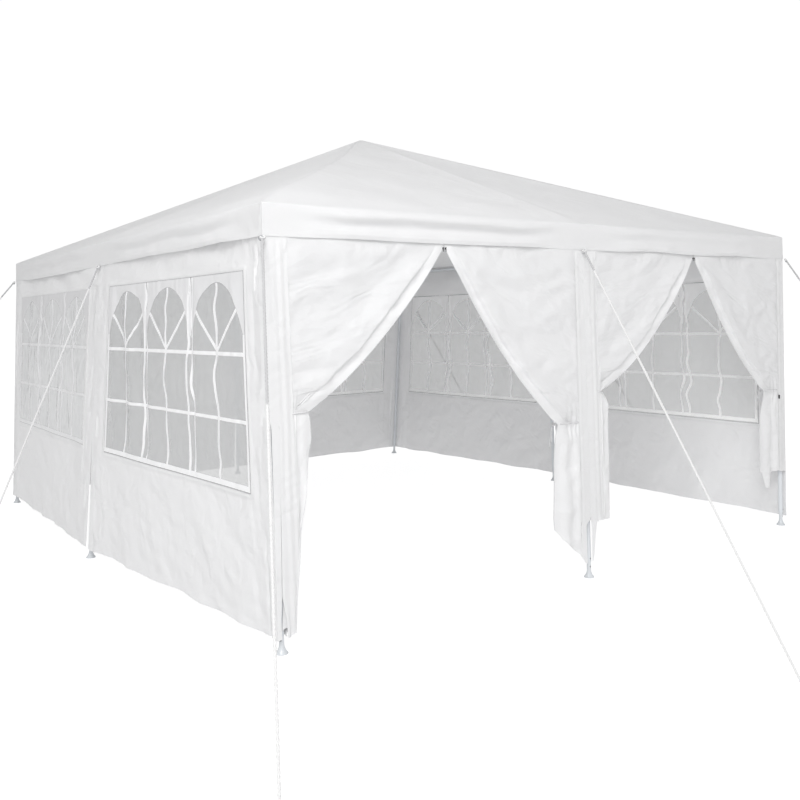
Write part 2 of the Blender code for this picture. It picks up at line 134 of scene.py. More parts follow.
# Each door leaf: its post, the way it runs from it, the width of its smooth band at the post, the tie's height,
# the cloth's reach there, the droop of its free edge and the seed of its wrinkles; then heights below the tie
# with the cloth's reach at each, and reaches along the hem with the hem's height at each
LEAVES = {
    "door_leaf_left_bay_left": {
        "post": "front_left", "way": 1, "band": 0.115, "tie": 1.05, "reach": 0.190, "droop": 0.065, "seed": 11,
        "edge": (
            (1.05, 0.190), (1.03, 0.196), (0.93, 0.203), (0.78, 0.176), (0.66, 0.160),
            (0.57, 0.143), (0.48, 0.127), (0.39, 0.117), (0.22, 0.097), (0.08, 0.084),
        ),
        "hem": ((0.0, 0.065), (0.04, 0.070), (0.065, 0.080), (0.087, 0.093)),
    },
    "door_leaf_left_bay_right": {
        "post": "front_middle", "way": -1, "band": 0.070, "tie": 0.87, "reach": 0.235, "droop": 0.095, "seed": 23,
        "edge": ((0.87, 0.235), (0.84, 0.250), (0.60, 0.266), (0.37, 0.280), (0.30, 0.275)),
        "hem": ((0.0, 0.085), (0.03, 0.095), (0.238, 0.262), (0.244, 0.300), (0.28, 0.305)),
    },
    "door_leaf_right_bay_left": {
        "post": "front_middle", "way": 1, "band": 0.105, "tie": 1.03, "reach": 0.118, "droop": 0.100, "seed": 37,
        "edge": ((1.03, 0.118), (1.00, 0.150), (0.95, 0.178), (0.80, 0.176), (0.31, 0.162)),
        "hem": ((0.0, 0.085), (0.012, 0.095), (0.046, 0.310), (0.20, 0.305)),
    },
    "door_leaf_right_bay_right": {
        "post": "front_right", "way": -1, "band": 0.080, "tie": 0.93, "reach": 0.240, "droop": 0.105, "seed": 41,
        "edge": ((0.93, 0.240), (0.90, 0.252), (0.61, 0.285), (0.39, 0.285), (0.20, 0.288)),
        "hem": ((0.0, 0.372), (0.17, 0.385), (0.195, 0.290), (0.225, 0.235), (0.262, 0.385), (0.32, 0.392)),
    },
}
# Hidden pleats of each leaf
PLEATS = 5
# The far leaf's toggle: how far it is from the post, its height and how far it is inward
TOGGLE_PLACE = (0.070, 0.883, -0.0035)
# The doubled strip along a leaf's free edge, and its points' distances from the edge
STRIP = 0.052
STRIP_POINTS = (0.052, 0.050, 0.0375, 0.025, 0.0125, 0.0)
# The slit in the near corner's band: its top, and half its opening at heights
SLIT_TOP = 1.0
SLIT_HEIGHTS = (0.06, 0.16, 0.25, 0.30, 0.36, 0.48, 0.60, 0.70, 1.0)
SLIT_GAPS = (0.0150, 0.0130, 0.0008, 0.0010, 0.0008, 0.0010, 0.0009, 0.0001, 0.0001)
ZIP_TOP = 1.81
# Half the width of a doorway, the width of a leaf's cloth, which leaves room for half the zip, and its height
DOOR_HALF = 1.0
LEAF_WIDTH = DOOR_HALF - 0.0064

# The guy ropes: how far their start is outside and below the valance's foot, the height of their end, and where
# the grey part begins and ends down the rope, which reaches further at the near corner
ROPE_OUT = 0.012
ROPE_DROP = (0, 0, 0.004)
ROPE_END = (0, 0, 0.032)
GREY_ROPE = (0.012, 0.17)
GREY_ROPE_NEAR = (0.012, 0.85)
# The rope's loop at its grommet and its coil round the peg, and the peg's rod, the bend of its hook and its stem
LOOP_RADIUS = 0.010
COIL_RADIUS = 0.0105
PEG_RADIUS = 0.0046
PEG_BEND = 0.011
PEG_STEM = 0.038
# The rolled ring of a grommet, and how far one is outside the eave at a corner and at a side's middle
GROMMET_RADIUS = 0.0098
GROMMET_OUT = (0.0165, 0.0145)
# The spring buttons of each post: their heights and the radii of the tubes they stand out of
BUTTONS = ((0.105, 0.0138), (0.060, 0.0113))

# The soft lamps: name, diameter, setting with their power, and place; and the point they look at
LAMPS = (
    ("high_lamp", 4.0, "key_light", (-5.0, -6.5, 6.5)),
    ("low_lamp", 2.5, "fill_light", (-5.5, -7.8, 2.9)),
)
LIT_POINT = (-0.5, -1.2, 1.4)

# The camera, as fitted to the photograph: the picture's side, the focal length and the row of the optical axis in
# pixels, its azimuth, elevation and roll in degrees, and its place
PICTURE = 800
FOCAL = 897.634
AXIS_ROW = 294.449
CAMERA_TURNS = (-35.743, -1.561, -1.003)
CAMERA_PLACE = (-3.780, -5.734, 1.460)
SENSOR = 36.0


# ---- Fields that wrinkle the fabric

# Waves in a wave field, and values each way in the table of a facet field
WAVES = 10
TABLE = 61


def wave_field(x, y, seed, length, angle=0.0, spread=math.pi):
    """A smooth random field of plane waves, about -1 to 1, whose waves run within spread of an angle."""
    random = np.random.default_rng(seed)
    total = np.zeros(np.broadcast(x, y).shape)
    for _ in range(WAVES):
        way = angle + random.uniform(-spread, spread)
        rate = 2 * math.pi / (length * random.uniform(0.65, 1.5))
        total += np.sin(rate * (x * math.cos(way) + y * math.sin(way)) + random.uniform(0, 2 * math.pi))
    return total / math.sqrt(WAVES / 2) / 1.6


def facet_field(x, y, seed, size):
    """Flat facets with straight creases, as stiff sheet keeps after it was folded away, about -1 to 1."""
    random = np.random.default_rng(seed)
    table = random.uniform(-1, 1, (TABLE, TABLE))
    turn = random.uniform(0.2, 1.3)
    bend = 0.5 * size
    u = (x * math.cos(turn) + y * math.sin(turn) + bend * wave_field(x, y, seed + 1, size * 4)) / size + 500
    v = (y * math.cos(turn) - x * math.sin(turn) + bend * wave_field(x, y, seed + 2, size * 4)) / size + 500
    i, j = np.floor(u).astype(int), np.floor(v).astype(int)
    a, b = u - i, v - j

    def corner(di, dj):
        return table[(i + di) % TABLE, (j + dj) % TABLE]

    near = corner(0, 0) + a * (corner(1, 0) - corner(0, 0)) + b * (corner(0, 1) - corner(0, 0))
    far = corner(1, 1) + (1 - a) * (corner(0, 1) - corner(1, 1)) + (1 - b) * (corner(1, 0) - corner(1, 1))
    return np.where(a + b < 1, near, far)


def ease(value, low, high):
    """0 below low, 1 above high, and a smooth rise between."""
    share = np.clip((np.asarray(value, float) - low) / (high - low), 0, 1)
    return share * share * (3 - 2 * share)


def bump(value, middle, width):
    """A smooth bell of height 1."""
    return np.exp(-(((np.asarray(value, float) - middle) / width) ** 2))


def behind_valance(height):
    """The least inward depth of a wall's or a leaf's wrinkles, which may stand out only below the valance."""
    return 0.0005 - 0.0205 * ease(1.84 - height, 0.0, 0.07)


def graded(breaks, step):
    """Values through all the breaks, no further apart than step."""
    values = [breaks[0]]
    for low, high in zip(breaks, breaks[1:]):
        count = max(1, math.ceil(abs(high - low) / step - 1e-6))
        values.extend(low + (high - low) * (k + 1) / count for k in range(count))
    return np.array(values)


# ---- Mesh makers

def side_number(side):
    """A side's place in the order front, right, back, left."""
    return list(SIDES).index(side)


def bay_label(side, bay):
    """A bay's name with its side's, as the pieces have it."""
    return f"{side}_{SIDES[side][4][bay]}"


def linked(name, data):
    """An object with its data, in the scene."""
    piece = bpy.data.objects.new(name, data)
    bpy.context.scene.collection.objects.link(piece)
    return piece


def side_points(side, along, inward, height):
    """World points from a side's own coordinates."""
    turn, _, distance, _, _ = SIDES[side]
    cos, sin = round(math.cos(math.radians(turn))), round(math.sin(math.radians(turn)))
    along, inward, height = np.broadcast_arrays(along, inward, height)
    y = inward - distance
    return np.stack([along * cos - y * sin, along * sin + y * cos, height], -1)


def new_piece(name, points, faces, flat=None, smooth=True):
    """An object from points and faces, with flat coordinates in metres as its UV map."""
    mesh = bpy.data.meshes.new(name)
    mesh.from_pydata(np.asarray(points, float).tolist(), [], [list(map(int, face)) for face in faces])
    if flat is not None:
        layer = mesh.uv_layers.new(name="Flat")
        corners = np.zeros(len(mesh.loops), np.int32)
        mesh.loops.foreach_get("vertex_index", corners)
        layer.data.foreach_set("uv", np.asarray(flat, np.float32)[corners].ravel())
    mesh.update()
    if smooth:
        mesh.shade_smooth()
    return linked(name, mesh)


def sheet_grid(name, points, flat, flip=False, open_cells=None):
    """A sheet from a grid of points with rows and columns."""
    rows, columns = points.shape[:2]
    index = np.arange(rows * columns).reshape(rows, columns)
    quads = np.stack([index[:-1, :-1], index[:-1, 1:], index[1:, 1:], index[1:, :-1]], -1)
    if flip:
        quads = quads[..., ::-1]
    quads = quads.reshape(-1, 4) if open_cells is None else quads[~open_cells]
    used, quads = np.unique(quads, return_inverse=True)
    quads = quads.reshape(-1, 4)
    return new_piece(name, points.reshape(-1, 3)[used], quads, flat.reshape(-1, 2)[used])


def finished(piece):
    """Apply a piece's modifiers, so that what is left is its plain mesh."""
    depsgraph = bpy.context.evaluated_depsgraph_get()
    mesh = bpy.data.meshes.new_from_object(piece.evaluated_get(depsgraph))
    old = piece.data
    piece.modifiers.clear()
    mesh.name = piece.name
    if piece.type == "MESH":
        piece.data = mesh
        bpy.data.meshes.remove(old)
        return piece
    name = piece.name
    bpy.data.objects.remove(piece)
    return linked(name, mesh)


def thicken(piece, thickness=SHEET):
    """Give a sheet its thickness, behind its face, with its rims sharp."""
    solid = piece.modifiers.new("Thickness", "SOLIDIFY")
    solid.thickness = thickness
    solid.offset = -1.0
    solid.use_even_offset = False
    piece = finished(piece)
    piece.data.set_sharp_from_angle(angle=math.radians(50))
    return piece


def path_frames(points, closed=False):
    """Two directions square to a path and to each other that don't twist along it."""
    points = np.asarray(points, float)
    if closed:
        ahead = np.roll(points, -1, 0) - np.roll(points, 1, 0)
    else:
        ahead = np.gradient(points, axis=0)
    ahead /= np.linalg.norm(ahead, axis=1)[:, None] + 1e-12
    side = np.cross(ahead[0], (0, 0, 1) if abs(ahead[0][2]) < 0.9 else (0, 1, 0))
    sides = []
    for way in ahead:
        side = side - way * (side @ way)
        side /= np.linalg.norm(side)
        sides.append(side)
    sides = np.array(sides)
    return sides, np.cross(ahead, sides)


def loft_faces(rows, count, closed=False):
    """Faces between rings of points, closed into a loop or capped."""
    faces = []
    for row in range(rows if closed else rows - 1):
        low, high = row * count, (row + 1) % rows * count
        for k in range(count):
            faces.append((low + k, low + (k + 1) % count, high + (k + 1) % count, high + k))
    if not closed:
        faces.append(tuple(reversed(range(count))))
        faces.append(tuple(range((rows - 1) * count, rows * count)))
    return faces


def tube_parts(points, radii, count=8, closed=False, squash=1.0):
    """Points and faces of a round tube along a path, closed into a ring or capped."""
    points = np.asarray(points, float)
    side, rise = path_frames(points, closed)
    radii = np.broadcast_to(radii, len(points))
    turn = np.arange(count) * 2 * math.pi / count
    ring = np.cos(turn)[None, :, None] * side[:, None] + squash * np.sin(turn)[None, :, None] * rise[:, None]
    skin = points[:, None] + ring * np.asarray(radii)[:, None, None]
    return skin.reshape(-1, 3), loft_faces(len(points), count, closed)


def rounded_block(size, bevel):
    """Points and faces of a block with rounded edges, about the origin."""
    mesh = bmesh.new()
    bmesh.ops.create_cube(mesh, size=1.0)
    bmesh.ops.scale(mesh, vec=size, verts=mesh.verts)
    bmesh.ops.bevel(mesh, geom=mesh.edges, offset=bevel, segments=3, affect="EDGES", profile=0.5)
    points = np.array([vert.co[:] for vert in mesh.verts])
    faces = [tuple(vert.index for vert in face.verts) for face in mesh.faces]
    mesh.free()
    return points, faces


def merged(parts):
    """Points and faces of several parts in one."""
    points, faces, base = [], [], 0
    for more, more_faces in parts:
        points.append(np.asarray(more))
        faces.extend(tuple(i + base for i in face) for face in more_faces)
        base += len(more)
    return np.concatenate(points), faces


def weld(piece, distance=1e-5):
    """Merge a piece's points that coincide."""
    mesh = bmesh.new()
    mesh.from_mesh(piece.data)
    bmesh.ops.remove_doubles(mesh, verts=mesh.verts, dist=distance)
    bmesh.ops.dissolve_degenerate(mesh, edges=mesh.edges, dist=1e-7)
    mesh.to_mesh(piece.data)
    mesh.free()
    piece.data.shade_smooth()


def fix_normals(piece):
    """Turn a closed piece's faces outward."""
    mesh = bmesh.new()
    mesh.from_mesh(piece.data)
    bmesh.ops.recalc_face_normals(mesh, faces=mesh.faces)
    mesh.to_mesh(piece.data)
    mesh.free()
    return piece


def face_centres(piece):
    """The middle of each face, as rows."""
    return np.array([face.center[:] for face in piece.data.polygons])


# ---- Materials

def new_group(name, inputs, outputs):
    """A shader node group with float or vector inputs and its outputs."""
    group = bpy.data.node_groups.new(name, "ShaderNodeTree")
    for label, kind, value in inputs:
        socket = group.interface.new_socket(label, in_out="INPUT", socket_type=kind)
        if value is not None:
            socket.default_value = value
    for label, kind in outputs:
        group.interface.new_socket(label, in_out="OUTPUT", socket_type=kind)
    return group, group.nodes.new("NodeGroupInput"), group.nodes.new("NodeGroupOutput")


def feed(tree, node, links):
    """Set a node's inputs to values or link them from sockets."""
    for key, value in links.items():
        if isinstance(value, bpy.types.NodeSocket):
            tree.links.new(value, node.inputs[key])
        elif value is not None:
            node.inputs[key].default_value = value


def wire(tree, kind, links=None, **settings):
    """A node with its properties and its inputs."""
    node = tree.nodes.new(kind)
    for key, value in settings.items():
        setattr(node, key, value)
    feed(tree, node, links or {})
    return node


def sums(tree, operation, first, second=None, third=None, clamp=False):
    """A maths node's result."""
    links = {0: first, 1: second, 2: third}
    return wire(tree, "ShaderNodeMath", links, operation=operation, use_clamp=clamp).outputs[0]


def vectors(tree, operation, first, second):
    """A vector maths node's result: a vector, or the value of a dot product."""
    links = {0: first, "Scale" if operation == "SCALE" else 1: second}
    node = wire(tree, "ShaderNodeVectorMath", links, operation=operation)
    return node.outputs["Value" if operation == "DOT_PRODUCT" else "Vector"]


def noise(tree, vector, scale, detail, **settings):
    """A noise texture."""
    links = {"Vector": vector, "Scale": scale, "Detail": detail}
    return wire(tree, "ShaderNodeTexNoise", links, **settings)


def make_weave_group():
    """Tape weave of coated sheet: flat tapes that cross over and under."""
    group, given, out = new_group(
        "Tape weave",
        [("Vector", "NodeSocketVector", None), ("Pitch", "NodeSocketFloat", 0.0025)],
        [("Height", "NodeSocketFloat")],
    )
    split = wire(group, "ShaderNodeSeparateXYZ", {0: given.outputs["Vector"]})
    heights = []
    for axis in ("X", "Y"):
        turns = sums(group, "DIVIDE", split.outputs[axis], given.outputs["Pitch"])
        wave = sums(group, "SINE", sums(group, "MULTIPLY", turns, 2 * math.pi))
        heights.append(sums(group, "MULTIPLY_ADD", wave, 0.5, 0.5))
    group.links.new(sums(group, "MAXIMUM", *heights), out.inputs["Height"])
    return group


def make_crinkle_group():
    """Straight sharp creases that cross in patches, of sheet that has been folded away.

    A height of 1 m per m is a slope of 1.
    """
    group, given, out = new_group(
        "Crinkle",
        [("Vector", "NodeSocketVector", None), ("Size", "NodeSocketFloat", 0.07)],
        [("Height", "NodeSocketFloat"), ("Shade", "NodeSocketFloat")],
    )
    where, size = given.outputs["Vector"], given.outputs["Size"]
    scale = sums(group, "DIVIDE", 1.0, size)
    warp = noise(group, where, sums(group, "MULTIPLY", scale, 0.30), 2.0, noise_dimensions="2D")
    drift = vectors(group, "SCALE", warp.outputs["Color"], sums(group, "MULTIPLY", size, 3.0))
    moved = vectors(group, "ADD", where, drift)
    total = None
    for turn, length, place in ((0.35, 1.0, 3.1), (1.20, 1.4, 7.7), (2.05, 0.75, 1.9), (2.70, 1.1, 5.3)):
        run = vectors(group, "DOT_PRODUCT", moved, (math.cos(turn), math.sin(turn), 0.0))
        folds = sums(group, "PINGPONG", sums(group, "MULTIPLY", run, scale), 0.5 * length)
        shifted = vectors(group, "ADD", where, (place, 2 * place, 0))
        patch = noise(group, shifted, sums(group, "MULTIPLY", scale, 0.35), 1.0, noise_dimensions="2D")
        mask = sums(group, "MULTIPLY_ADD", patch.outputs["Fac"], 6.0, -2.8, clamp=True)
        part = sums(group, "MULTIPLY", sums(group, "MULTIPLY", folds, size), mask)
        total = part if total is None else sums(group, "ADD", total, part)
    group.links.new(total, out.inputs["Height"])
    group.links.new(warp.outputs["Fac"], out.inputs["Shade"])
    return group


def make_soil_group():
    """A faint greyness towards the ground and in soft clouds, from 0 to 1."""
    group, given, out = new_group(
        "Ground soil",
        [("Vector", "NodeSocketVector", None), ("Reach", "NodeSocketFloat", 0.25)],
        [("Mask", "NodeSocketFloat")],
    )
    split = wire(group, "ShaderNodeSeparateXYZ", {0: given.outputs["Vector"]})
    rise = sums(group, "DIVIDE", split.outputs["Z"], given.outputs["Reach"])
    low = sums(group, "SUBTRACT", 1.0, rise, clamp=True)
    cloud = noise(group, given.outputs["Vector"], 9.0, 5.0)
    group.links.new(sums(group, "MULTIPLY", low, cloud.outputs["Fac"]), out.inputs["Mask"])
    return group


def blank_material(name):
    """A material with only a Principled shader, its tree, the shader and texture coordinates."""
    material = bpy.data.materials.new(name)
    material.use_nodes = True
    tree = material.node_tree
    shader = tree.nodes["Principled BSDF"]
    return material, tree, shader, tree.nodes.new("ShaderNodeTexCoord")


def group_node(tree, group, values):
    """A group placed in a tree, with its inputs set."""
    return wire(tree, "ShaderNodeGroup", values, node_tree=group)


def tinted(tree, mask, clean, dull):
    """A colour that goes from clean to dull by a mask; dull is a colour or a share of clean."""
    if isinstance(dull, float):
        dull = tuple(c * dull for c in clean)
    mix = wire(tree, "ShaderNodeMix", {"Factor": mask}, data_type="RGBA")
    feed(tree, mix, {"A": (*clean, 1), "B": (*dull, 1)})
    return mix.outputs["Result"]


def relief(tree, height, strength=1.0, distance=1.0):
    """A normal that follows a height."""
    links = {"Strength": strength, "Distance": distance, "Height": height}
    return wire(tree, "ShaderNodeBump", links).outputs[0]


def make_fabric(name, look, groups, crinkle, size, more_light):
    """White coated sheet: tape weave, creases, a satin surface and some light let through."""
    material, tree, shader, where = blank_material(name)
    flat, place = where.outputs["UV"], where.outputs["Object"]
    weave = group_node(tree, groups["weave"], {"Vector": flat, "Pitch": 0.0028})
    crease = group_node(tree, groups["crinkle"], {"Vector": flat, "Size": size})
    soil = group_node(tree, groups["soil"], {"Vector": place, "Reach": 0.22})
    clean = tuple(look.fabric_colour)
    fine = sums(tree, "MULTIPLY", weave.outputs["Height"], 0.00008)
    normal = relief(tree, sums(tree, "MULTIPLY_ADD", crease.outputs["Height"], crinkle, fine))
    front = {
        "Base Color": tinted(tree, soil.outputs["Mask"], clean, 0.95),
        "Roughness": sums(tree, "MULTIPLY_ADD", crease.outputs["Shade"], 0.25, look.fabric_roughness - 0.12),
        "Specular IOR Level": 0.45,
        "Normal": normal,
    }
    feed(tree, shader, front)
    behind = wire(tree, "ShaderNodeBsdfTranslucent", {"Color": (*clean, 1), "Normal": normal})
    links = {0: look.fabric_translucency + more_light, 1: shader.outputs[0], 2: behind.outputs[0]}
    mix = wire(tree, "ShaderNodeMixShader", links)
    tree.links.new(mix.outputs[0], tree.nodes["Material Output"].inputs["Surface"])
    return material


def make_film(name, look, groups, shade=1.0, more_haze=0.0):
    """Grey, slightly milky window film with soft ripples in its gloss."""
    material, tree, shader, where = blank_material(name)
    crease = group_node(tree, groups["crinkle"], {"Vector": where.outputs["UV"], "Size": 0.11})
    haze = noise(tree, where.outputs["UV"], 3.2, 4.0).outputs["Fac"]
    surface = {
        "Base Color": tinted(tree, haze, tuple(c * shade for c in look.film_colour), 0.92),
        "Roughness": sums(tree, "MULTIPLY_ADD", haze, 0.10, 0.06),
        "Alpha": look.film_haze + more_haze,
        "Normal": relief(tree, sums(tree, "MULTIPLY", crease.outputs["Height"], 0.05)),
    }
    feed(tree, shader, surface)
    return material


def make_print(name, colour, groups):
    """Ink printed on the film, thin and a little uneven."""
    material, tree, shader, where = blank_material(name)
    place = where.outputs["Object"]
    crease = group_node(tree, groups["crinkle"], {"Vector": place, "Size": 0.09})
    surface = {
        "Base Color": tinted(tree, noise(tree, place, 22.0, 3.0).outputs["Fac"], colour, 0.93),
        "Roughness": 0.35,
        "Normal": relief(tree, sums(tree, "MULTIPLY", crease.outputs["Height"], 0.04)),
    }
    feed(tree, shader, surface)
    return material


def make_metal(name, groups, colour, dull, roughness, metallic):
    """Grey coated steel with fine orange peel, faint rub marks and dust near the ground."""
    material, tree, shader, where = blank_material(name)
    place = where.outputs["Object"]
    stretched = wire(tree, "ShaderNodeMapping", {"Vector": place, "Scale": (1.0, 1.0, 0.06)})
    streaks = noise(tree, stretched.outputs[0], 160.0, 3.0)
    clouds = noise(tree, place, 14.0, 5.0).outputs["Fac"]
    soil = group_node(tree, groups["soil"], {"Vector": place, "Reach": 0.12})
    worn = sums(tree, "MULTIPLY", streaks.outputs["Fac"], clouds)
    mask = sums(tree, "MULTIPLY_ADD", soil.outputs["Mask"], 0.8, worn, clamp=True)
    surface = {
        "Base Color": tinted(tree, mask, colour, dull),
        "Roughness": sums(tree, "MULTIPLY_ADD", clouds, 0.2, roughness - 0.1),
        "Metallic": metallic,
        "Normal": relief(tree, noise(tree, place, 700.0, 2.0).outputs["Fac"], 0.25, 0.0004),
    }
    feed(tree, shader, surface)
    return material


def make_fibre(name, colour, scale=260.0):
    """Spun fibre of ropes, ties and tapes."""
    material, tree, shader, where = blank_material(name)
    fibre = noise(tree, where.outputs["Object"], scale, 4.0).outputs["Fac"]
    surface = {
        "Base Color": tinted(tree, fibre, colour, 0.82),
        "Roughness": 0.75,
        "Sheen Weight": 0.3,
        "Normal": relief(tree, fibre, 0.5, 0.0006),
    }
    feed(tree, shader, surface)
    return material


FINISHES = {}
# Each cloth: its material's name, the height and size of its creases, and how much more light it lets through
CLOTHS = {
    "roof": ("roof_sheet", 0.016, 0.16, 0.0),
    "wall": ("wall_sheet", 0.04, 0.07, 0.0),
    # The corner cloth's extra light is painted light, which lifts the shade round the far corner's post
    "wall_corner_painted_light": ("wall_sheet_corner", 0.04, 0.07, 0.14),
    "leaf": ("leaf_sheet", 0.04, 0.08, -0.03),
    "leaf_single": ("leaf_sheet_single", 0.045, 0.08, 0.09),
}
# Each print besides the near bars: its material's name and colour; the inside ones are lighter copies, a painted
# backlight
PRINTS = {
    "pale": ("pale_print", (0.72, 0.72, 0.73)),
    "bar_far": ("white_bars_hazy", (0.74, 0.74, 0.75)),
    "bar_inside_painted_backlight": ("white_bars_inside", (0.98, 0.98, 0.98)),
    "pale_far": ("pale_print_hazy", (0.64, 0.64, 0.65)),
    "pale_inside_painted_backlight": ("pale_print_inside", (0.95, 0.95, 0.95)),
}
# Each metal: its material's name, colour, worn colour, roughness and metallic share
METALS = {
    "tube": ("coated_tube", (0.72, 0.75, 0.78), (0.56, 0.58, 0.60), 0.38, 0.05),
    "joint": ("coated_joint", (0.70, 0.72, 0.74), (0.52, 0.54, 0.56), 0.42, 0.05),
    "bright": ("plated_steel", (0.42, 0.43, 0.45), (0.30, 0.31, 0.32), 0.30, 0.85),
    "dark": ("dark_metal", (0.035, 0.035, 0.04), (0.06, 0.06, 0.06), 0.40, 0.4),
}


def prepare_finishes(look):
    """Build the shared groups and every material once."""
    if FINISHES:
        return
    groups = {"weave": make_weave_group(), "crinkle": make_crinkle_group(), "soil": make_soil_group()}
    for finish, (name, *creases) in CLOTHS.items():
        FINISHES[finish] = make_fabric(name, look, groups, *creases)
    FINISHES["film"] = make_film("window_film", look, groups)
    # The hazy film is also a lighter copy, a painted reflection of the pale surroundings seen at a grazing angle
    FINISHES["film_far_painted_glare"] = make_film("window_film_hazy", look, groups, 1.30, 0.18)
    FINISHES["bar"] = make_print("white_bars", look.bar_colour, groups)
    for finish, (name, colour) in PRINTS.items():
        FINISHES[finish] = make_print(name, colour, groups)
    for finish, (name, *surface) in METALS.items():
        FINISHES[finish] = make_metal(name, groups, *surface)
    # The dark grey seam is painted shadow along a window's edge
    FINISHES["seam"] = make_fibre("grey_seam", (0.34, 0.34, 0.35))
    FINISHES["rope"] = make_fibre("rope_fibre", look.rope_colour)
    FINISHES["rope_end"] = make_fibre("rope_fibre_grey", (0.52, 0.52, 0.53))
    FINISHES["tape"] = make_fibre("tape_fibre", (0.74, 0.74, 0.75), 180.0)


def wear(piece, finish):
    """Give a piece one finish on all its faces."""
    piece.data.materials.clear()
    piece.data.materials.append(FINISHES[finish])
    return piece


def add_finish(piece, finish, faces):
    """Give the chosen faces of a piece a second finish."""
    piece.data.materials.append(FINISHES[finish])
    piece.data.polygons.foreach_set("material_index", np.asarray(faces).astype(np.int32))


def hand_over(piece, nodes=()):
    """Ride a finished piece on the root, in the place of the nodes it replaces."""
    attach(piece, "root")
    if nodes:
        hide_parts(*nodes)
    return piece


# ---- Geometry Nodes

def new_node_tree(name, inputs):
    """A geometry node tree with a geometry in and out and further named inputs."""
    tree = bpy.data.node_groups.new(name, "GeometryNodeTree")
    tree.interface.new_socket("Geometry", in_out="INPUT", socket_type="NodeSocketGeometry")
    for label, kind, value in inputs:
        socket = tree.interface.new_socket(label, in_out="INPUT", socket_type=kind)
        if value is not None:
            socket.default_value = value
    tree.interface.new_socket("Geometry", in_out="OUTPUT", socket_type="NodeSocketGeometry")
    return tree, tree.nodes.new("NodeGroupInput"), tree.nodes.new("NodeGroupOutput")


def even_points(tree, given):
    """The given curve with points at the given spacing."""
    links = {"Curve": given.outputs["Geometry"], "Length": given.outputs["Spacing"]}
    return wire(tree, "GeometryNodeResampleCurve", links, mode="LENGTH").outputs[0]


def send_out(tree, geometry, given, out):
    """Geometry with the given material, as a tree's result."""
    links = {"Geometry": geometry, "Material": given.outputs["Material"]}
    tree.links.new(wire(tree, "GeometryNodeSetMaterial", links).outputs[0], out.inputs[0])
    return tree


def send_copies(tree, points, turn, given, out):
    """Plain copies of the given part at points, as a tree's result."""
    part = wire(tree, "GeometryNodeObjectInfo", {"Object": given.outputs["Part"]}).outputs["Geometry"]
    links = {"Points": points, "Instance": part, "Rotation": turn}
    placed = wire(tree, "GeometryNodeInstanceOnPoints", links)
    real = wire(tree, "GeometryNodeRealizeInstances", {"Geometry": placed.outputs[0]})
    return send_out(tree, real.outputs[0], given, out)


def make_rope_tree():
    """Strands wound round a path, swept into a rope."""
    tree, given, out = new_node_tree(
        "Twisted rope",
        [
            ("Strand Radius", "NodeSocketFloat", 0.0034),
            ("Winding Radius", "NodeSocketFloat", 0.0030),
            ("Pitch", "NodeSocketFloat", 0.050),
            ("Spacing", "NodeSocketFloat", 0.009),
            ("Material", "NodeSocketMaterial", None),
        ],
    )
    path = even_points(tree, given)
    length = wire(tree, "GeometryNodeSplineParameter").outputs["Length"]
    tangent = wire(tree, "GeometryNodeInputTangent").outputs[0]
    normal = wire(tree, "GeometryNodeInputNormal").outputs[0]
    across = vectors(tree, "CROSS_PRODUCT", tangent, normal)
    turns = sums(tree, "DIVIDE", length, given.outputs["Pitch"])
    links = {"Resolution": 6, "Radius": given.outputs["Strand Radius"]}
    ring = wire(tree, "GeometryNodeCurvePrimitiveCircle", links, mode="RADIUS").outputs[0]
    joined = tree.nodes.new("GeometryNodeJoinGeometry")
    for strand in range(3):
        angle = sums(tree, "MULTIPLY_ADD", turns, 2 * math.pi, strand * 2 * math.pi / 3)
        moves = []
        for way, trace in ((normal, "COSINE"), (across, "SINE")):
            reach = sums(tree, "MULTIPLY", sums(tree, trace, angle), given.outputs["Winding Radius"])
            moves.append(vectors(tree, "SCALE", way, reach))
        offset = vectors(tree, "ADD", *moves)
        wound = wire(tree, "GeometryNodeSetPosition", {"Geometry": path, "Offset": offset}).outputs[0]
        links = {"Curve": wound, "Profile Curve": ring, "Fill Caps": True}
        tree.links.new(wire(tree, "GeometryNodeCurveToMesh", links).outputs[0], joined.inputs[0])
    return send_out(tree, joined.outputs[0], given, out)


def make_row_tree():
    """Copies of a small part set at even spacing along a path."""
    tree, given, out = new_node_tree(
        "Row along a path",
        [
            ("Part", "NodeSocketObject", None),
            ("Spacing", "NodeSocketFloat", 0.006),
            ("Material", "NodeSocketMaterial", None),
        ],
    )
    tangent = wire(tree, "GeometryNodeInputTangent").outputs[0]
    turn = wire(tree, "FunctionNodeAlignRotationToVector", {"Vector": tangent}, axis="X").outputs[0]
    return send_copies(tree, even_points(tree, given), turn, given, out)


def make_set_tree():
    """Copies of a small part set at points, turned by each point's own facing."""
    tree, given, out = new_node_tree(
        "Set at points",
        [("Part", "NodeSocketObject", None), ("Material", "NodeSocketMaterial", None)],
    )
    facing = wire(tree, "GeometryNodeInputNamedAttribute", {"Name": "facing"}, data_type="FLOAT_VECTOR").outputs[0]
    turn = wire(tree, "FunctionNodeAlignRotationToVector", {"Vector": facing}, axis="Z").outputs[0]
    return send_copies(tree, given.outputs["Geometry"], turn, given, out)


TREES = {}


def grown(piece, tree_name, values):
    """Run a node tree on an object and keep the plain mesh it makes."""
    if not TREES:
        TREES.update(rope=make_rope_tree(), row=make_row_tree(), set=make_set_tree())
    tree = TREES[tree_name]
    growth = piece.modifiers.new("Growth", "NODES")
    growth.node_group = tree
    for item in tree.interface.items_tree:
        if item.item_type == "SOCKET" and item.in_out == "INPUT" and item.name in values:
            growth[item.identifier] = values[item.name]
    return finished(piece)


def path_object(name, points):
    """A curve through points, for a node tree to follow."""
    curve = bpy.data.curves.new(name, "CURVE")
    curve.dimensions = "3D"
    line = curve.splines.new("POLY")
    line.points.add(len(points) - 1)
    for point, place in zip(line.points, points):
        point.co = (*place, 1)
    return linked(name, curve)


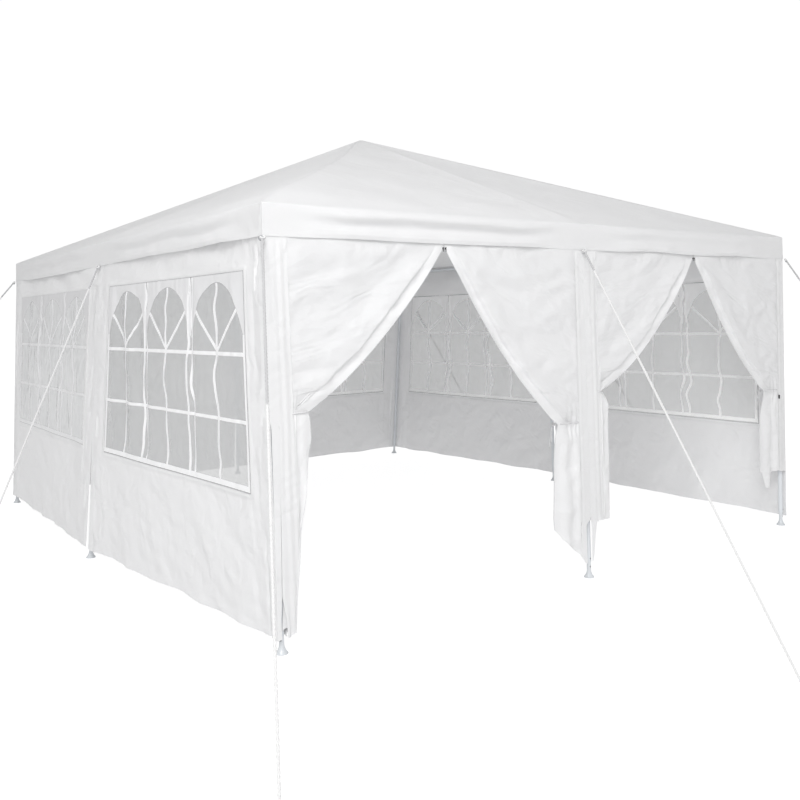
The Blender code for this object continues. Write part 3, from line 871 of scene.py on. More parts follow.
def points_object(name, places, facings):
    """Loose points with a facing each, for a node tree to set parts at."""
    mesh = bpy.data.meshes.new(name)
    mesh.from_pydata([tuple(place) for place in places], [], [])
    attribute = mesh.attributes.new("facing", "FLOAT_VECTOR", "POINT")
    attribute.data.foreach_set("vector", np.asarray(facings, np.float32).ravel())
    return linked(name, mesh)


# ---- Canopy

# Rows of the roll at the eave, and shares of the valance's height at its rows, close together at its hem
ROLL_STEPS = 6
VALANCE_SHARES = (*np.linspace(0.06, 0.84, 10), 0.865, 0.98, 1.0)
# How much of its full depth each side's lengthwise valance fold has, and how far the hem curls in
VALANCE_FOLDS = {"front": (1.0, 0.007), "right": (0.6, 0.002), "back": (0.6, 0.002), "left": (0.55, 0.006)}
# How far the near hip hangs below a straight line, from its corner to the peak in equal steps
HIP_DIPS = (0, -0.010, -0.001, 0.011, 0.018, 0.026, 0.031, 0.030, 0.021, 0.004, 0)


def roof_drop(side, across, out):
    """How far the roof sheet hangs below its flat panel. across is -1 to 1 between hips, out 0 to 1 to the eave."""
    half = SIDES[side][1]
    between = np.abs(across)
    sag = 0.036 * 4 * between * (1 - between) * out**0.8 * (1 - out) ** 0.55 * 1.6
    x, y = across * half * out, out * 2.4
    seed = 3 + 2 * side_number(side)
    calm = ease(out, 0.02, 0.2) * ease(1 - out, 0.0, 0.05) * ease(between, 0.0, 0.12) * ease(1 - between, 0.0, 0.12)
    sag = sag + calm * 0.0040 * wave_field(x, y, seed, 0.60)
    sag = sag + calm * 0.0026 * facet_field(x, y, seed + 1, 0.30)
    sag = sag - 0.0035 * bump(x, 0.0, 0.014) * ease(out, 0.05, 0.15) * ease(1 - out, 0.0, 0.08)
    near = {"front": across < 0, "left": across > 0}.get(side)
    if near is not None:
        sag = sag + np.where(near, between**1.7, 0) * np.interp(1 - out, np.arange(11) / 10, HIP_DIPS)
        sag = sag - np.where(near, 0.010, 0) * bump(out, 0.90, 0.07) * (1 - between**3)
    return sag + 0.001


def off_posts(side, along):
    """0 at a side's three posts, 1 well away from them."""
    half = SIDES[side][1]
    nearest = np.minimum(np.abs(along), half - np.abs(along))
    return ease(nearest, 0.10, 0.55)


def eave_roll(side, along):
    """Radius of the soft roll at the eave: crisp at the near corner and the posts, soft between."""
    half = SIDES[side][1]
    near = {"front": ease(along, -half + 0.08, -half + 0.6), "left": ease(-along, -half + 0.05, -half + 0.3)}
    return 0.007 + 0.021 * off_posts(side, along) * near.get(side, 1.0)


def valance_lines(side, along, share):
    """How far the valance stands out from the wall and its drop in height, down its share 0 to 1."""
    between = off_posts(side, along)
    seed = 21 + side_number(side)
    random = wave_field(along, share * 0.4, seed, 0.8, spread=0.25)
    depth, curl = VALANCE_FOLDS[side]
    if side == "front":
        depth = depth - 0.75 * ease(along, -0.2, 0.9)
    middle = 0.42 + 0.07 * random
    fold = between * depth * (0.011 * bump(share, middle - 0.27, 0.13) - 0.018 * bump(share, middle + 0.03, 0.15))
    flare = between * (0.003 * bump(share, 0.8, 0.15) * (1 + random) - curl * ease(share, 0.82, 1.0) ** 2)
    ripple = 0.0026 * wave_field(along, share * 0.15, seed + 4, 0.23, spread=0.5) * ease(share, 0.1, 0.9) * between
    ripple = ripple + 0.0022 * facet_field(along, share * 0.15, seed + 8, 0.06) * ease(share, 0.05, 0.3)
    stand = -0.0014 + 0.0155 * between + fold + flare + ripple * (0.2 + 0.8 * between)
    slump = 0.010 * between * (along < 0) if side == "left" else 0.0
    drop = 0.004 * between * wave_field(along, 0 * along, seed + 12, 0.9, spread=0.1)
    return np.maximum(stand, -0.0014), (drop + slump) * share


def canopy_rows(side, across, run):
    """Points and flat places of one side's slope, roll and valance, row by row, run metres round the eave."""
    _, half, distance, _, _ = SIDES[side]
    slope = math.atan2(PEAK_HEIGHT - EAVE_HEIGHT, distance)
    along, run_out = across * half, distance / math.cos(slope)
    radius = eave_roll(side, along)
    stand0, _ = valance_lines(side, along, np.zeros_like(along))
    rows, flat = [], []
    for out in np.concatenate([[0.0], graded([0.004, 0.03, 0.985], CANOPY_GRID[1])]):
        height = PEAK_HEIGHT - (PEAK_HEIGHT - EAVE_HEIGHT) * out - roof_drop(side, across, out)
        rows.append(side_points(side, along * out, distance * (1 - out) + 0 * along, height))
        flat.append((run + half + along * out, 0 * along + run_out * out))
    centre = EAVE_HEIGHT - 0.004 + radius * (1 - math.sin(slope)) * math.tan(slope) - radius * math.cos(slope)
    for step in range(ROLL_STEPS):
        turn = slope + (math.pi / 2 - slope) * step / (ROLL_STEPS - 1)
        inward = radius * (1 - math.sin(turn)) - stand0 * (step / (ROLL_STEPS - 1)) ** 1.5
        rows.append(side_points(side, across * (half - inward), inward, centre + radius * math.cos(turn)))
        flat.append((run + half + along, 0 * along + run_out + radius * (turn - slope)))
    for share in VALANCE_SHARES:
        stand, drop = valance_lines(side, along, share)
        inward = -stand + (-0.0008 if share > 0.85 else 0.0)
        height = centre + (VALANCE_FOOT - centre) * share - drop
        rows.append(side_points(side, across * (half - inward), inward, height))
        flat.append((run + half + along, 0 * along + run_out + 0.03 + 0.15 * share))
    return np.array(rows), np.stack(np.swapaxes(flat, 0, 1), -1)


def build_canopy():
    """One continuous sheet from the peak over the eaves to the hem of the valance."""
    points, flat, run = [], [], 0.0
    for side, (_, half, _, _, _) in SIDES.items():
        across = graded([-half, -half + 0.03, -0.014, 0, 0.014, half - 0.03, half], CANOPY_GRID[0])[:-1] / half
        rows, flat_rows = canopy_rows(side, across, run)
        points.append(rows)
        flat.append(flat_rows)
        run += 2 * half
    points = np.concatenate([*points, points[0][:, :1]], 1)
    flat = np.concatenate([*flat, flat[0][:, :1] + (run, 0)], 1)
    points[0] = (0, 0, PEAK_HEIGHT - 0.004)
    canopy = sheet_grid("canopy_sheet", points, flat, flip=True)
    weld(canopy)
    thicken(canopy)
    wear(canopy, "roof")
    hand_over(canopy, [f"roof_panel_{side}" for side in SIDES])


# ---- Window walls

def lean_at(side, post, height):
    """How far a post's line has moved along and inward at a height."""
    share = np.clip((VALANCE_FOOT - height) / VALANCE_FOOT, 0, 1)
    x, y = POSTS[post][1]
    turn = math.radians(SIDES[side][0])
    cos, sin = math.cos(turn), math.sin(turn)
    return (x * cos + y * sin) * share, (-x * sin + y * cos) * share


def wall_base(side, bay, share, height):
    """Along and inward of the unwrinkled wall, share 0 to 1 between its posts."""
    _, half, _, posts, _ = SIDES[side]
    ends = []
    for post, way in ((posts[bay], 1), (posts[bay + 1], -1)):
        place = (posts.index(post) - 1) * half
        middle = place == 0
        inset = MIDDLE_INSET if middle else END_INSETS[side]
        part = np.where(middle, 0.022, 0.0) * ease(0.95 - height, 0.0, 0.9)
        move, deep = lean_at(side, post, height)
        ends.append((place + way * (inset + part) + move, WALL_INSET + deep))
    (a0, i0), (a1, i1) = ends
    return a0 + (a1 - a0) * share, i0 + (i1 - i0) * share


def wall_seed(side, bay):
    """A number of its own for each wall's wrinkles."""
    return 100 + 10 * side_number(side) + 3 * bay


def slack(side, bay, s, h):
    """The broad swell of a bay, inward, shared by the fabric and its window."""
    length = SIDES[side][1]
    seed = wall_seed(side, bay)
    ends = ease(s, 0.05, 0.5) * ease(length - s, 0.05, 0.5)
    return ends * (0.007 * wave_field(s, h, seed, 1.1) + 0.006)


def wall_wrinkles(side, bay, s, h):
    """All the wall's wrinkles, inward, s metres from its first post at height h."""
    length = SIDES[side][1]
    seed = wall_seed(side, bay)
    nearest = np.minimum(s, length - s)
    outside = np.maximum.reduce([WINDOW_MARGIN - s, s - (length - WINDOW_MARGIN), WINDOW_BOTTOM - h, h - WINDOW_TOP])
    calm = ease(outside, 0.0, 0.05)
    head = ease(h, WINDOW_TOP, WINDOW_TOP + 0.05) * ease(WALL_TOP - h, 0.0, 0.1)
    drift = 0.9 * wave_field(0 * h, h, seed + 1, 0.9)
    pleats = 0.0042 * bump(nearest, 0.075, 0.045) * np.sin(2 * math.pi * nearest / 0.036 + drift + seed)
    below = ease(WINDOW_BOTTOM - h, 0.0, 0.12)
    drapes = 0.0042 * below * wave_field(s, h, seed + 2, 0.38, angle=0.5, spread=0.6)
    drapes = drapes + 0.0020 * below * wave_field(s, h, seed + 3, 0.13, angle=0.8, spread=0.6)
    head_folds = 0.009 * head * wave_field(s, h, seed + 4, 0.42, angle=1.05, spread=0.45)
    margin = ease(nearest, 0.03, 0.08) * (1 - ease(nearest, WINDOW_MARGIN, WINDOW_MARGIN + 0.08))
    sides = 0.0022 * margin * wave_field(s, h * 0.5, seed + 5, 0.09, angle=0.1, spread=0.3)
    facets = 0.0052 * facet_field(s, h, seed + 6, 0.15) + 0.0030 * facet_field(s, h, seed + 7, 0.070)
    facets = facets * (1 - 0.4 * head)
    hem = 0.005 * bump(h, HEM_HEIGHT, 0.13) * wave_field(s, 0 * s, seed + 8, 0.5, spread=0.1)
    ends = ease(nearest, 0.0, 0.05)
    total = slack(side, bay, s, h) + ends * (calm * (pleats + facets + sides) + drapes + head_folds + hem)
    band = np.where((outside > 0.001) & (outside < 0.021), -0.0014, 0.0)
    foot = np.where(h < HEM_HEIGHT + 0.031, -0.0010, 0.0)
    return np.maximum(total, behind_valance(h)) + band + foot


def wall_point(side, bay, s, h, inward=0.0):
    """World points of a bay's fabric plane with an inward offset."""
    length = SIDES[side][1]
    along, deep = wall_base(side, bay, np.asarray(s) / length, h)
    return side_points(side, along, deep + inward, h)


def build_wall(side, bay):
    """One wall panel with its window cut out, hem, binding, pleats and wrinkles."""
    length = SIDES[side][1]
    left, right = WINDOW_MARGIN, length - WINDOW_MARGIN
    outer, inner = BINDING_EDGES
    s = graded([0, left - outer, left - inner, left, right, right + inner, right + outer, length], WALL_GRID[0])
    rows = [HEM_HEIGHT, HEM_HEIGHT + 0.030, HEM_HEIGHT + 0.032, WINDOW_BOTTOM - outer, WINDOW_BOTTOM - inner]
    rows += [WINDOW_BOTTOM, WINDOW_TOP, WINDOW_TOP + inner, WINDOW_TOP + outer, WALL_TOP]
    h = graded(rows, WALL_GRID[1])
    grid_s, grid_h = np.meshgrid(s, h)
    points = wall_point(side, bay, grid_s, grid_h, wall_wrinkles(side, bay, grid_s, grid_h))
    middle_s, middle_h = (s[1:] + s[:-1]) / 2, (h[1:] + h[:-1]) / 2
    in_width = (middle_s > left) & (middle_s < right)
    in_height = (middle_h > WINDOW_BOTTOM) & (middle_h < WINDOW_TOP)
    uneven = wave_field(grid_s, 0 * grid_s, wall_seed(side, bay) + 9, 0.7, spread=0.1)
    points[..., 2] += 0.0035 * np.interp(grid_h, [HEM_HEIGHT, 0.3], [1, 0]) * uneven
    flat = np.stack([grid_s, grid_h], -1)
    hole = in_height[:, None] & in_width
    wall = sheet_grid(f"{bay_label(side, bay)}_wall_sheet", points, flat, open_cells=hole)
    thicken(wall)
    wear(wall, "wall")
    centres = face_centres(wall)
    # Near the far corner's post the wall gets a copy that lets more light through, painted light against the shade
    # there
    corner = (centres[:, 0] > WIDTH / 2 - PAINTED_LIGHT_CORNER_REACH) & (centres[:, 1] > DEPTH / 2 - PAINTED_LIGHT_CORNER_REACH)
    if corner.any():
        add_finish(wall, "wall_corner_painted_light", corner)
    return hand_over(wall, [f"{side}_wall_{SIDES[side][4][bay]}"])


# ---- Windows

def light_width(side):
    """Width of one of the window's three arched lights."""
    return (SIDES[side][1] - 2 * WINDOW_MARGIN) / LIGHTS


def film_depth(side, bay, s, h):
    """The film's own folds and ripples, inward, on top of the wall's broad swell."""
    length = SIDES[side][1]
    seed = wall_seed(side, bay) + 40
    edge = np.minimum.reduce([s - WINDOW_MARGIN, length - WINDOW_MARGIN - s, h - WINDOW_BOTTOM, WINDOW_TOP - h])
    calm = ease(edge, 0.0, 0.10)
    folds = 0.0075 * wave_field(s, h, seed, 0.34, angle=0.05, spread=0.25)
    folds = folds + 0.0012 * wave_field(s, h, seed + 1, 0.11, angle=0.3, spread=0.5)
    creases = 0.0014 * facet_field(s, h, seed + 2, 0.09)
    tucks = 0.0
    for k in range(1, LIGHTS):
        place = WINDOW_MARGIN + k * light_width(side) + 0.02 * wave_field(0 * h, h, seed + 3 + k, 0.5)
        tucks = tucks + 0.009 * bump(s, place, 0.022)
    return slack(side, bay, s, h) + 0.0004 + calm * (folds + creases + tucks)


def film_point(side, bay, s, h, inward=0.0):
    """World points on the film with an inward offset."""
    return wall_point(side, bay, s, h, film_depth(side, bay, s, h) + inward)


def outline_height(side, s):
    """Lower edge of the pale print over the arches, along the whole window."""
    width = light_width(side)
    scale = PATTERN_WIDTH / width
    offset = (np.asarray(s) - WINDOW_MARGIN) % width - width / 2
    return np.interp(np.abs(offset * scale), *np.transpose(ARCH))


def bar_paths(side, seed):
    """Printed bars as lines of (s, h) points and a width. The upright ones wander with the slack film."""
    width = light_width(side)
    scale = width / PATTERN_WIDTH
    left, right = WINDOW_MARGIN, SIDES[side][1] - WINDOW_MARGIN
    foot = WINDOW_BOTTOM + 0.028
    levels = ((LONG_BARS[0], 0.019), (LONG_BARS[1], 0.017), (WINDOW_BOTTOM + 0.017, 0.026))
    paths = [([(left, level), (right, level)], thick) for level, thick in levels]
    for end in (left + 0.012, right - 0.012):
        paths.append(([(end, WINDOW_BOTTOM + 0.005), (end, 1.40)], 0.018))
    for k in range(LIGHTS):
        middle = left + width * (k + 0.5)
        paths.append(([(middle, foot), (middle, 1.648)], 0.019))
        for way in (-1, 1):
            paths.append(([(middle, 1.322), (middle + way * 0.232 * scale, 1.515)], 0.017))
            side_bar, joint = middle + way * 0.276 * scale, middle + way * (width / 2 - 0.018)
            if left + 0.08 < side_bar < right - 0.08:
                paths.append(([(side_bar, foot), (side_bar, 1.26), (joint, 1.46), (joint, WINDOW_TOP - 0.004)], 0.019))
    drifting = []
    for path, thick in paths:
        run = np.array(path, float)
        if abs(run[-1, 1] - run[0, 1]) > 0.1 and left + 0.05 < run[0, 0] < right - 0.05:
            h = np.linspace(run[0, 1], run[-1, 1], 60)
            along = np.interp(h, run[:, 1], run[:, 0])
            sway = 0.024 if abs(run[-1, 1] - run[0, 1]) > 0.5 else 0.006
            between = round((run[0, 0] - left) / width)
            ends = ease(h - run[0, 1], 0.0, 0.15) * ease(run[-1, 1] - h, 0.0, 0.10)
            slow = sway * wave_field(0 * h, h, seed + 7 * between, 0.36)
            along = along + ends * (slow + 0.3 * sway * wave_field(0 * h, h, seed + int(run[0, 0] * 90), 0.17))
            run = np.stack([along, h], -1)
        drifting.append((run, thick))
    return drifting


def bar_parts(side, bay, path, width):
    """A flat bar that lies on both faces of the film along a path."""
    path = np.array(path, float)
    steps = np.linalg.norm(np.diff(path, axis=0), axis=1)
    run = np.concatenate([[0], np.cumsum(steps)])
    count = max(3, int(run[-1] / 0.016) + 1)
    where = np.linspace(0, run[-1], count)
    s, h = np.interp(where, run, path[:, 0]), np.interp(where, run, path[:, 1])
    ahead = np.stack([np.gradient(s), np.gradient(h)], -1)
    ahead /= np.linalg.norm(ahead, axis=1)[:, None] + 1e-12
    sides = np.stack([-ahead[:, 1], ahead[:, 0]], -1) * width / 2
    rows = []
    for way, face in ((1, -1), (1, 1), (-1, 1), (-1, -1)):
        rows.append(film_point(side, bay, s + way * sides[:, 0], h + way * sides[:, 1], 0.0003 + face * 0.0017))
    return np.stack(rows, 1).reshape(-1, 3), loft_faces(count, 4)


def paint_backlight_inside(piece, side, finish):
    """Give the faces that look into the tent a finish of their own, a lighter one that paints in the backlight shining
    through them.
    """
    turn = math.radians(SIDES[side][0])
    normals = np.zeros(3 * len(piece.data.polygons), np.float32)
    piece.data.polygons.foreach_get("normal", normals)
    inward = normals.reshape(-1, 3) @ np.array([-math.sin(turn), math.cos(turn), 0.0])
    add_finish(piece, finish, inward > 0.3)


def build_film(side, bay):
    """The film of one window, which reaches a little behind the wall."""
    left, right = WINDOW_MARGIN, SIDES[side][1] - WINDOW_MARGIN
    s = graded([left - 0.006, left, right, right + 0.006], FILM_GRID[0])
    h = graded([WINDOW_BOTTOM - 0.006, WINDOW_BOTTOM, WINDOW_TOP, WINDOW_TOP + 0.006], FILM_GRID[1])
    grid_s, grid_h = np.meshgrid(s, h)
    flat = np.stack([grid_s, grid_h], -1)
    film = sheet_grid(f"{bay_label(side, bay)}_window_film", film_point(side, bay, grid_s, grid_h), flat)
    thicken(film, 0.0006)
    wear(film, "film_far_painted_glare" if (side, bay) == HAZY_PAINTED_GLARE_BAY else "film")
    hand_over(film, [f"{side}_window_{SIDES[side][4][bay]}"])


def build_bars(side, bay):
    """The printed bars of one window."""
    paths = bar_paths(side, wall_seed(side, bay) + 70)
    parts = merged([bar_parts(side, bay, path, width) for path, width in paths])
    bars = fix_normals(new_piece(f"{bay_label(side, bay)}_window_bars", *parts, smooth=False))
    wear(bars, "bar_far" if (side, bay) == HAZY_PAINTED_GLARE_BAY else "bar")
    # The bars' inside faces get a lighter copy of their print as painted backlight
    paint_backlight_inside(bars, side, "bar_inside_painted_backlight")
    hand_over(bars)


def build_arches(side, bay):
    """The pale print between a window's arches and its top, with a slit between lights."""
    left, right = WINDOW_MARGIN, SIDES[side][1] - WINDOW_MARGIN
    across = graded([left + 0.001, right - 0.001], 0.007)
    share = np.linspace(0, 1, 8)[:, None]
    low = outline_height(side, across)[None, :]
    tall = low + (WINDOW_TOP - 0.001 - low) * share
    wide = np.broadcast_to(across, tall.shape)
    centre = (across[1:] + across[:-1]) / 2
    apart = [np.abs(centre - left - k * light_width(side)) for k in range(1, LIGHTS)]
    split = np.broadcast_to(np.minimum.reduce(apart) < 0.0085, (len(share) - 1, len(centre)))
    points, flat = film_point(side, bay, wide, tall, -0.0010), np.stack([wide, tall], -1)
    arches = sheet_grid(f"{bay_label(side, bay)}_window_arches", points, flat, open_cells=split)
    thicken(arches, 0.0026)
    wear(arches, "pale_far" if (side, bay) == HAZY_PAINTED_GLARE_BAY else "pale")
    # The print's inside faces get a lighter copy as painted backlight
    paint_backlight_inside(arches, side, "pale_inside_painted_backlight")
    hand_over(arches)


def build_seam(side, bay):
    """The seam that holds the film round its window, a thin grey tube that also draws the shadow line along the film's
    edge, darkest on one bay.
    """
    left, right = WINDOW_MARGIN, SIDES[side][1] - WINDOW_MARGIN
    corners = ((left, WINDOW_BOTTOM), (right, WINDOW_BOTTOM), (right, WINDOW_TOP), (left, WINDOW_TOP))
    s, h = [], []
    for (s0, h0), (s1, h1) in zip(corners, corners[1:] + corners[:1]):
        count = int(max(abs(s1 - s0), abs(h1 - h0)) / 0.02)
        s.extend(np.linspace(s0, s1, count, endpoint=False))
        h.extend(np.linspace(h0, h1, count, endpoint=False))
    s, h = np.array(s), np.array(h)
    ring = wall_point(side, bay, s, h, slack(side, bay, s, h) - 0.0004)
    name = f"{bay_label(side, bay)}_window_seam"
    seam = fix_normals(new_piece(name, *tube_parts(ring, 0.0013, 6, closed=True)))
    # The grey seam stands in for the shadow line at the film's edge: painted shadow
    wear(seam, "seam" if (side, bay) == PAINTED_SHADOW_SEAM_BAY else "tape")
    hand_over(seam)


# ---- Door leaves

def free_edge(leaf, height):
    """How far a leaf's free edge is from the post at a height above the tie, and its slope there."""
    q = np.linspace(0, 1, 400)
    reach = LEAF_WIDTH + (leaf["reach"] - LEAF_WIDTH) * q
    level = ZIP_TOP + (leaf["tie"] - ZIP_TOP) * q - 4 * leaf["droop"] * q * (1 - q)
    slope = np.gradient(reach, level)
    return np.interp(height, level[::-1], reach[::-1]), np.interp(height, level[::-1], slope[::-1])


def leaf_foot(leaf, band, u, share):
    """Height of the hem below each point of a row, through the band, the hidden pleats and the front."""
    edge_end = leaf["edge"][-1][1]
    hem_x, hem_z = np.array(leaf["hem"]).T
    fold = min(leaf["band"], edge_end - 0.008)
    end = hem_x[-1] * 0.95 if hem_x[-1] > edge_end else 0.98 * edge_end
    behind = fold + (0.09 if leaf["way"] < 0 else 0.0)
    x = np.concatenate([band * fold / leaf["band"], np.full(len(u), behind), fold + (end - fold) * share])
    foot = np.interp(x, hem_x, hem_z)
    foot[len(band):len(band) + len(u)] += 0.012 + 0.02 * np.sin(u * 23)
    return foot + 0.004 * wave_field(x, 0 * x, leaf["seed"] + 60, 0.09)


def leaf_grid(name):
    """The points of a drawn-back leaf: along from its post, height, depth and flat coordinates.

    Its smooth band stays at the post. The cloth beyond it slides back behind the band into hidden pleats as
    the free edge nears the tie, so that the part in front lies flat and only crinkles. Each row runs through
    the band, the hidden pleats, where u goes from 0 to 1, and the front, where share does.
    """
    leaf = LEAVES[name]
    width, tie = leaf["band"], leaf["tie"]
    edge_z, edge_x = np.array(leaf["edge"])[::-1].T
    hem_z = np.array(leaf["hem"])[:, 1]
    band = graded([0, 0.030, 0.034, width - 0.012, width - 0.0015, width], LEAF_GRID[0])
    u = np.linspace(0, 1, PLEATS * 12 + 1)[1:-1]
    steps = np.linspace(1, 0, 57)[:-1] ** 1.5
    upper = graded([WALL_TOP, ZIP_TOP, tie], LEAF_GRID[1])
    lower = np.linspace(0, 1, int((tie - hem_z.min()) / LEAF_GRID[2]))[1:]
    lower = np.concatenate([lower[lower < 0.955], [0.962, 0.965, 0.982, 1.0]])
    hidden_in = 0.048 if leaf["post"] == "front_left" else 0.022
    first_pleat = max(hidden_in, width - 0.055)
    rows = {key: [] for key in ("x", "z", "d", "s", "t")}
    run_edge, last = 0.0, None
    for row, level in enumerate(np.concatenate([upper, lower])):
        above = row < len(upper)
        if above:
            z_mean, fold_x = level, width
            reach, slope = free_edge(leaf, min(level, ZIP_TOP))
            spread = 1 + (math.hypot(1, slope) - 1) * float(ease(ZIP_TOP - level, 0, 0.25))
            front = np.clip((reach - width) / spread, STRIP + 0.010, LEAF_WIDTH - width - 0.012)
            if last is not None and level < ZIP_TOP:
                run_edge += math.hypot(level - last[0], reach - last[1])
            last = (level, reach)
            extra = max(0.0, run_edge - (ZIP_TOP - min(level, ZIP_TOP)))
        else:
            z_mean = tie - level * (tie - 0.3)
            fold_x = min(width, float(np.interp(tie - level * (tie - float(hem_z.mean())), edge_z, edge_x)) - 0.008)
        band_x = np.where(band > 0.05, 0.05 + (band - 0.05) * (fold_x - 0.05) / (width - 0.05), band)
        hidden = LEAF_WIDTH - width - front
        near_fold = min(0.0012, 0.3 * (front - STRIP) * (1 - steps[1]))
        away = np.concatenate([[front, front - near_fold], STRIP + (front - STRIP) * steps[1:], STRIP_POINTS])
        s = np.concatenate([band, width + hidden * u, LEAF_WIDTH - away])
        share = 1 - away / front
        pull = float(ease(hidden, 0.0, 0.12))
        pack = (width - first_pleat) * pull
        w = np.clip((u - 0.12) / 0.88, 0, 1)
        hidden_x = np.where(u < 0.12, fold_x - pack * u / 0.12, fold_x - pack + pack * w)
        if above:
            z = np.full(len(s), level)
        else:
            z = tie - level * (tie - leaf_foot(leaf, band, u, share))
            reach = np.interp(z[len(band) + len(u):], edge_z, edge_x)
        squeeze = 1 - 0.45 * math.exp(-(((z_mean - tie) / 0.09) ** 2))
        deep = max(0.0, (hidden - 2 * pack) / (2 * PLEATS)) * squeeze
        swing = (1 - np.cos(2 * math.pi * PLEATS * w)) / 2
        hidden_d = pull * (0.0014 + 0.008 * np.minimum(1, 8 * u * (1 - u))) + deep * swing
        rows["x"].append(np.concatenate([band_x, hidden_x, fold_x + 0.0007 * pull + (reach - fold_x) * share]))
        rows["z"].append(z)
        rows["d"].append(np.concatenate([0 * band, hidden_d, 0 * share]))
        rows["s"].append(s)
        rows["t"].append(WALL_TOP - z + extra * np.clip((s - width) / (LEAF_WIDTH - width), 0, 1))
    return {**{key: np.array(value) for key, value in rows.items()}, "band": len(band), "front": len(band) + len(u)}


def leaf_folds(name, grid):
    """Wrinkles of a leaf, inward: creases, the soft roll beside its free edge and the pinch at its tie."""
    leaf = LEAVES[name]
    tie, seed = leaf["tie"], leaf["seed"]
    x, z, s, t = grid["x"], grid["z"], grid["s"], grid["t"]
    away = LEAF_WIDTH - s
    above = ease(z, tie + 0.02, tie + 0.16)
    calm_top = ease(ZIP_TOP - z, 0.0, 0.16)
    beyond = ease(x, leaf["band"] * 0.9, leaf["band"] + 0.05)
    free = ease(away, 0.0, 0.03)
    clear = beyond * free * (0.5 + 0.5 * ease(1.83 - z, 0.0, 0.08))
    depth = 0.0100 * clear * facet_field(s, t, seed + 3, 0.16)
    depth = depth + 0.0060 * clear * facet_field(x, z, seed + 4, 0.070)
    patch = ease(wave_field(s, t, seed + 9, 0.5), -0.1, 0.5)
    depth = depth + 0.0030 * patch * clear * facet_field(x, z, seed + 5, 0.034)
    depth = depth + 0.006 * beyond * free * above * wave_field(s, t, seed + 2, 0.6, angle=0.7, spread=0.5)
    strip = 1 - ease(away, 0.040, 0.068)
    roll = 0.021 * (1 - ease(away, 0.068, 0.21)) * (1 - strip) + 0.009 * strip * np.clip(1 - away / 0.05, 0, 1)
    depth = depth - roll * calm_top * above
    rays = np.exp(-(((z - tie) / 0.075) ** 2)) * ease(x, leaf["band"] - 0.01, leaf["band"] + 0.02)
    share = np.clip((x - leaf["band"]) / max(0.03, leaf["reach"] - leaf["band"]), 0, 1.2)
    swing = 2 * math.pi * 4.3 * share + 1.4 * wave_field(x, z, seed + 6, 0.2)
    depth = depth + rays * (0.0035 + 0.0038 * np.sin(swing))
    below = ease(tie - z, 0.0, 0.16)
    drift = 0.7 * wave_field(0 * z, z, seed + 7, 0.5)
    depth = depth + below * 0.0045 * (1 + np.sin(2 * math.pi * 1.6 * share + drift + seed)) * ease(share, 0.0, 0.25)
    depth = depth + below * 0.010 * ease(share, 0.82, 1.08) ** 2
    pleats = 0.0024 * np.sin(2 * math.pi * x / 0.040 + seed + 0.5 * wave_field(0 * z, z, seed + 8, 0.7))
    in_band = ease(x, 0.035, 0.06) * (1 - ease(x, leaf["band"] - 0.02, leaf["band"] + 0.01))
    depth = depth + pleats * in_band * ease(WALL_TOP - z, 0.10, 0.2)
    depth = depth + np.where(away < 0.051, -0.0012, 0.0)
    hidden = np.zeros_like(depth, bool)
    hidden[:, grid["band"]:grid["front"]] = True
    return np.where(hidden, 0.3 * depth * ease(grid["d"], 0.0, 0.02), depth)


def leaf_place(name, x, z, inward):
    """World points from a leaf's own reach, height and depth."""
    leaf = LEAVES[name]
    place = (SIDES["front"][3].index(leaf["post"]) - 1) * WIDTH / 2
    inset = MIDDLE_INSET if place == 0 else END_INSETS["front"]
    move, deep = lean_at("front", leaf["post"], z)
    return side_points("front", place + leaf["way"] * (inset + x) + move, WALL_INSET + deep + inward, z)


def build_leaf(name):
    """One door leaf, drawn back, gathered at its tie and hanging below it, and its grid of points."""
    leaf = LEAVES[name]
    post, way = leaf["post"], leaf["way"]
    grid = leaf_grid(name)
    depth = grid["d"] + leaf_folds(name, grid)
    x, z = grid["x"].copy(), grid["z"]
    cells = None
    if post == "front_left":
        slit = np.interp(z, [0.10, 0.26, 1.0], [0.030, 0.024, 0.045])
        gap = np.interp(z, SLIT_HEIGHTS, SLIT_GAPS)
        near = np.exp(-(((grid["s"] - 0.032) / 0.028) ** 2)) * (grid["s"] < leaf["band"])
        x = x + near * ease(1.02 - z, 0, 0.03) * (slit - 0.032 + np.sign(grid["s"] - 0.032) * (gap - 0.002))
        cells = np.zeros((z.shape[0] - 1, z.shape[1] - 1), bool)
        column = int(np.argmin(np.abs(grid["s"][0] - 0.030)))
        cells[:, column] = z[1:, column] < SLIT_TOP
    elif post == "front_middle":
        part = 0.036 if way < 0 else 0.004
        x = x + part * ease(0.335 - z, 0.0, 0.04) * np.clip(1 - x / (leaf["band"] + 0.02), 0, 1)
    points = leaf_place(name, x, z, np.maximum(depth, behind_valance(z)))
    flat = np.stack([grid["s"], 2 - grid["t"]], -1)
    cloth = sheet_grid(f"{name}_sheet", points, flat, flip=way > 0, open_cells=cells)
    columns = np.arange(z.shape[1] - 1)
    away = LEAF_WIDTH - (grid["s"][:-1, 1:] + grid["s"][:-1, :-1]) / 2
    single = (columns >= grid["band"]) & (away > 0.0505) & (z[1:, 1:] > leaf["tie"] + 0.01)
    single = single.reshape(-1) if cells is None else single[~cells]
    wear(cloth, "leaf")
    add_finish(cloth, "leaf_single", single)
    thicken(cloth)
    return hand_over(cloth, [name]), points


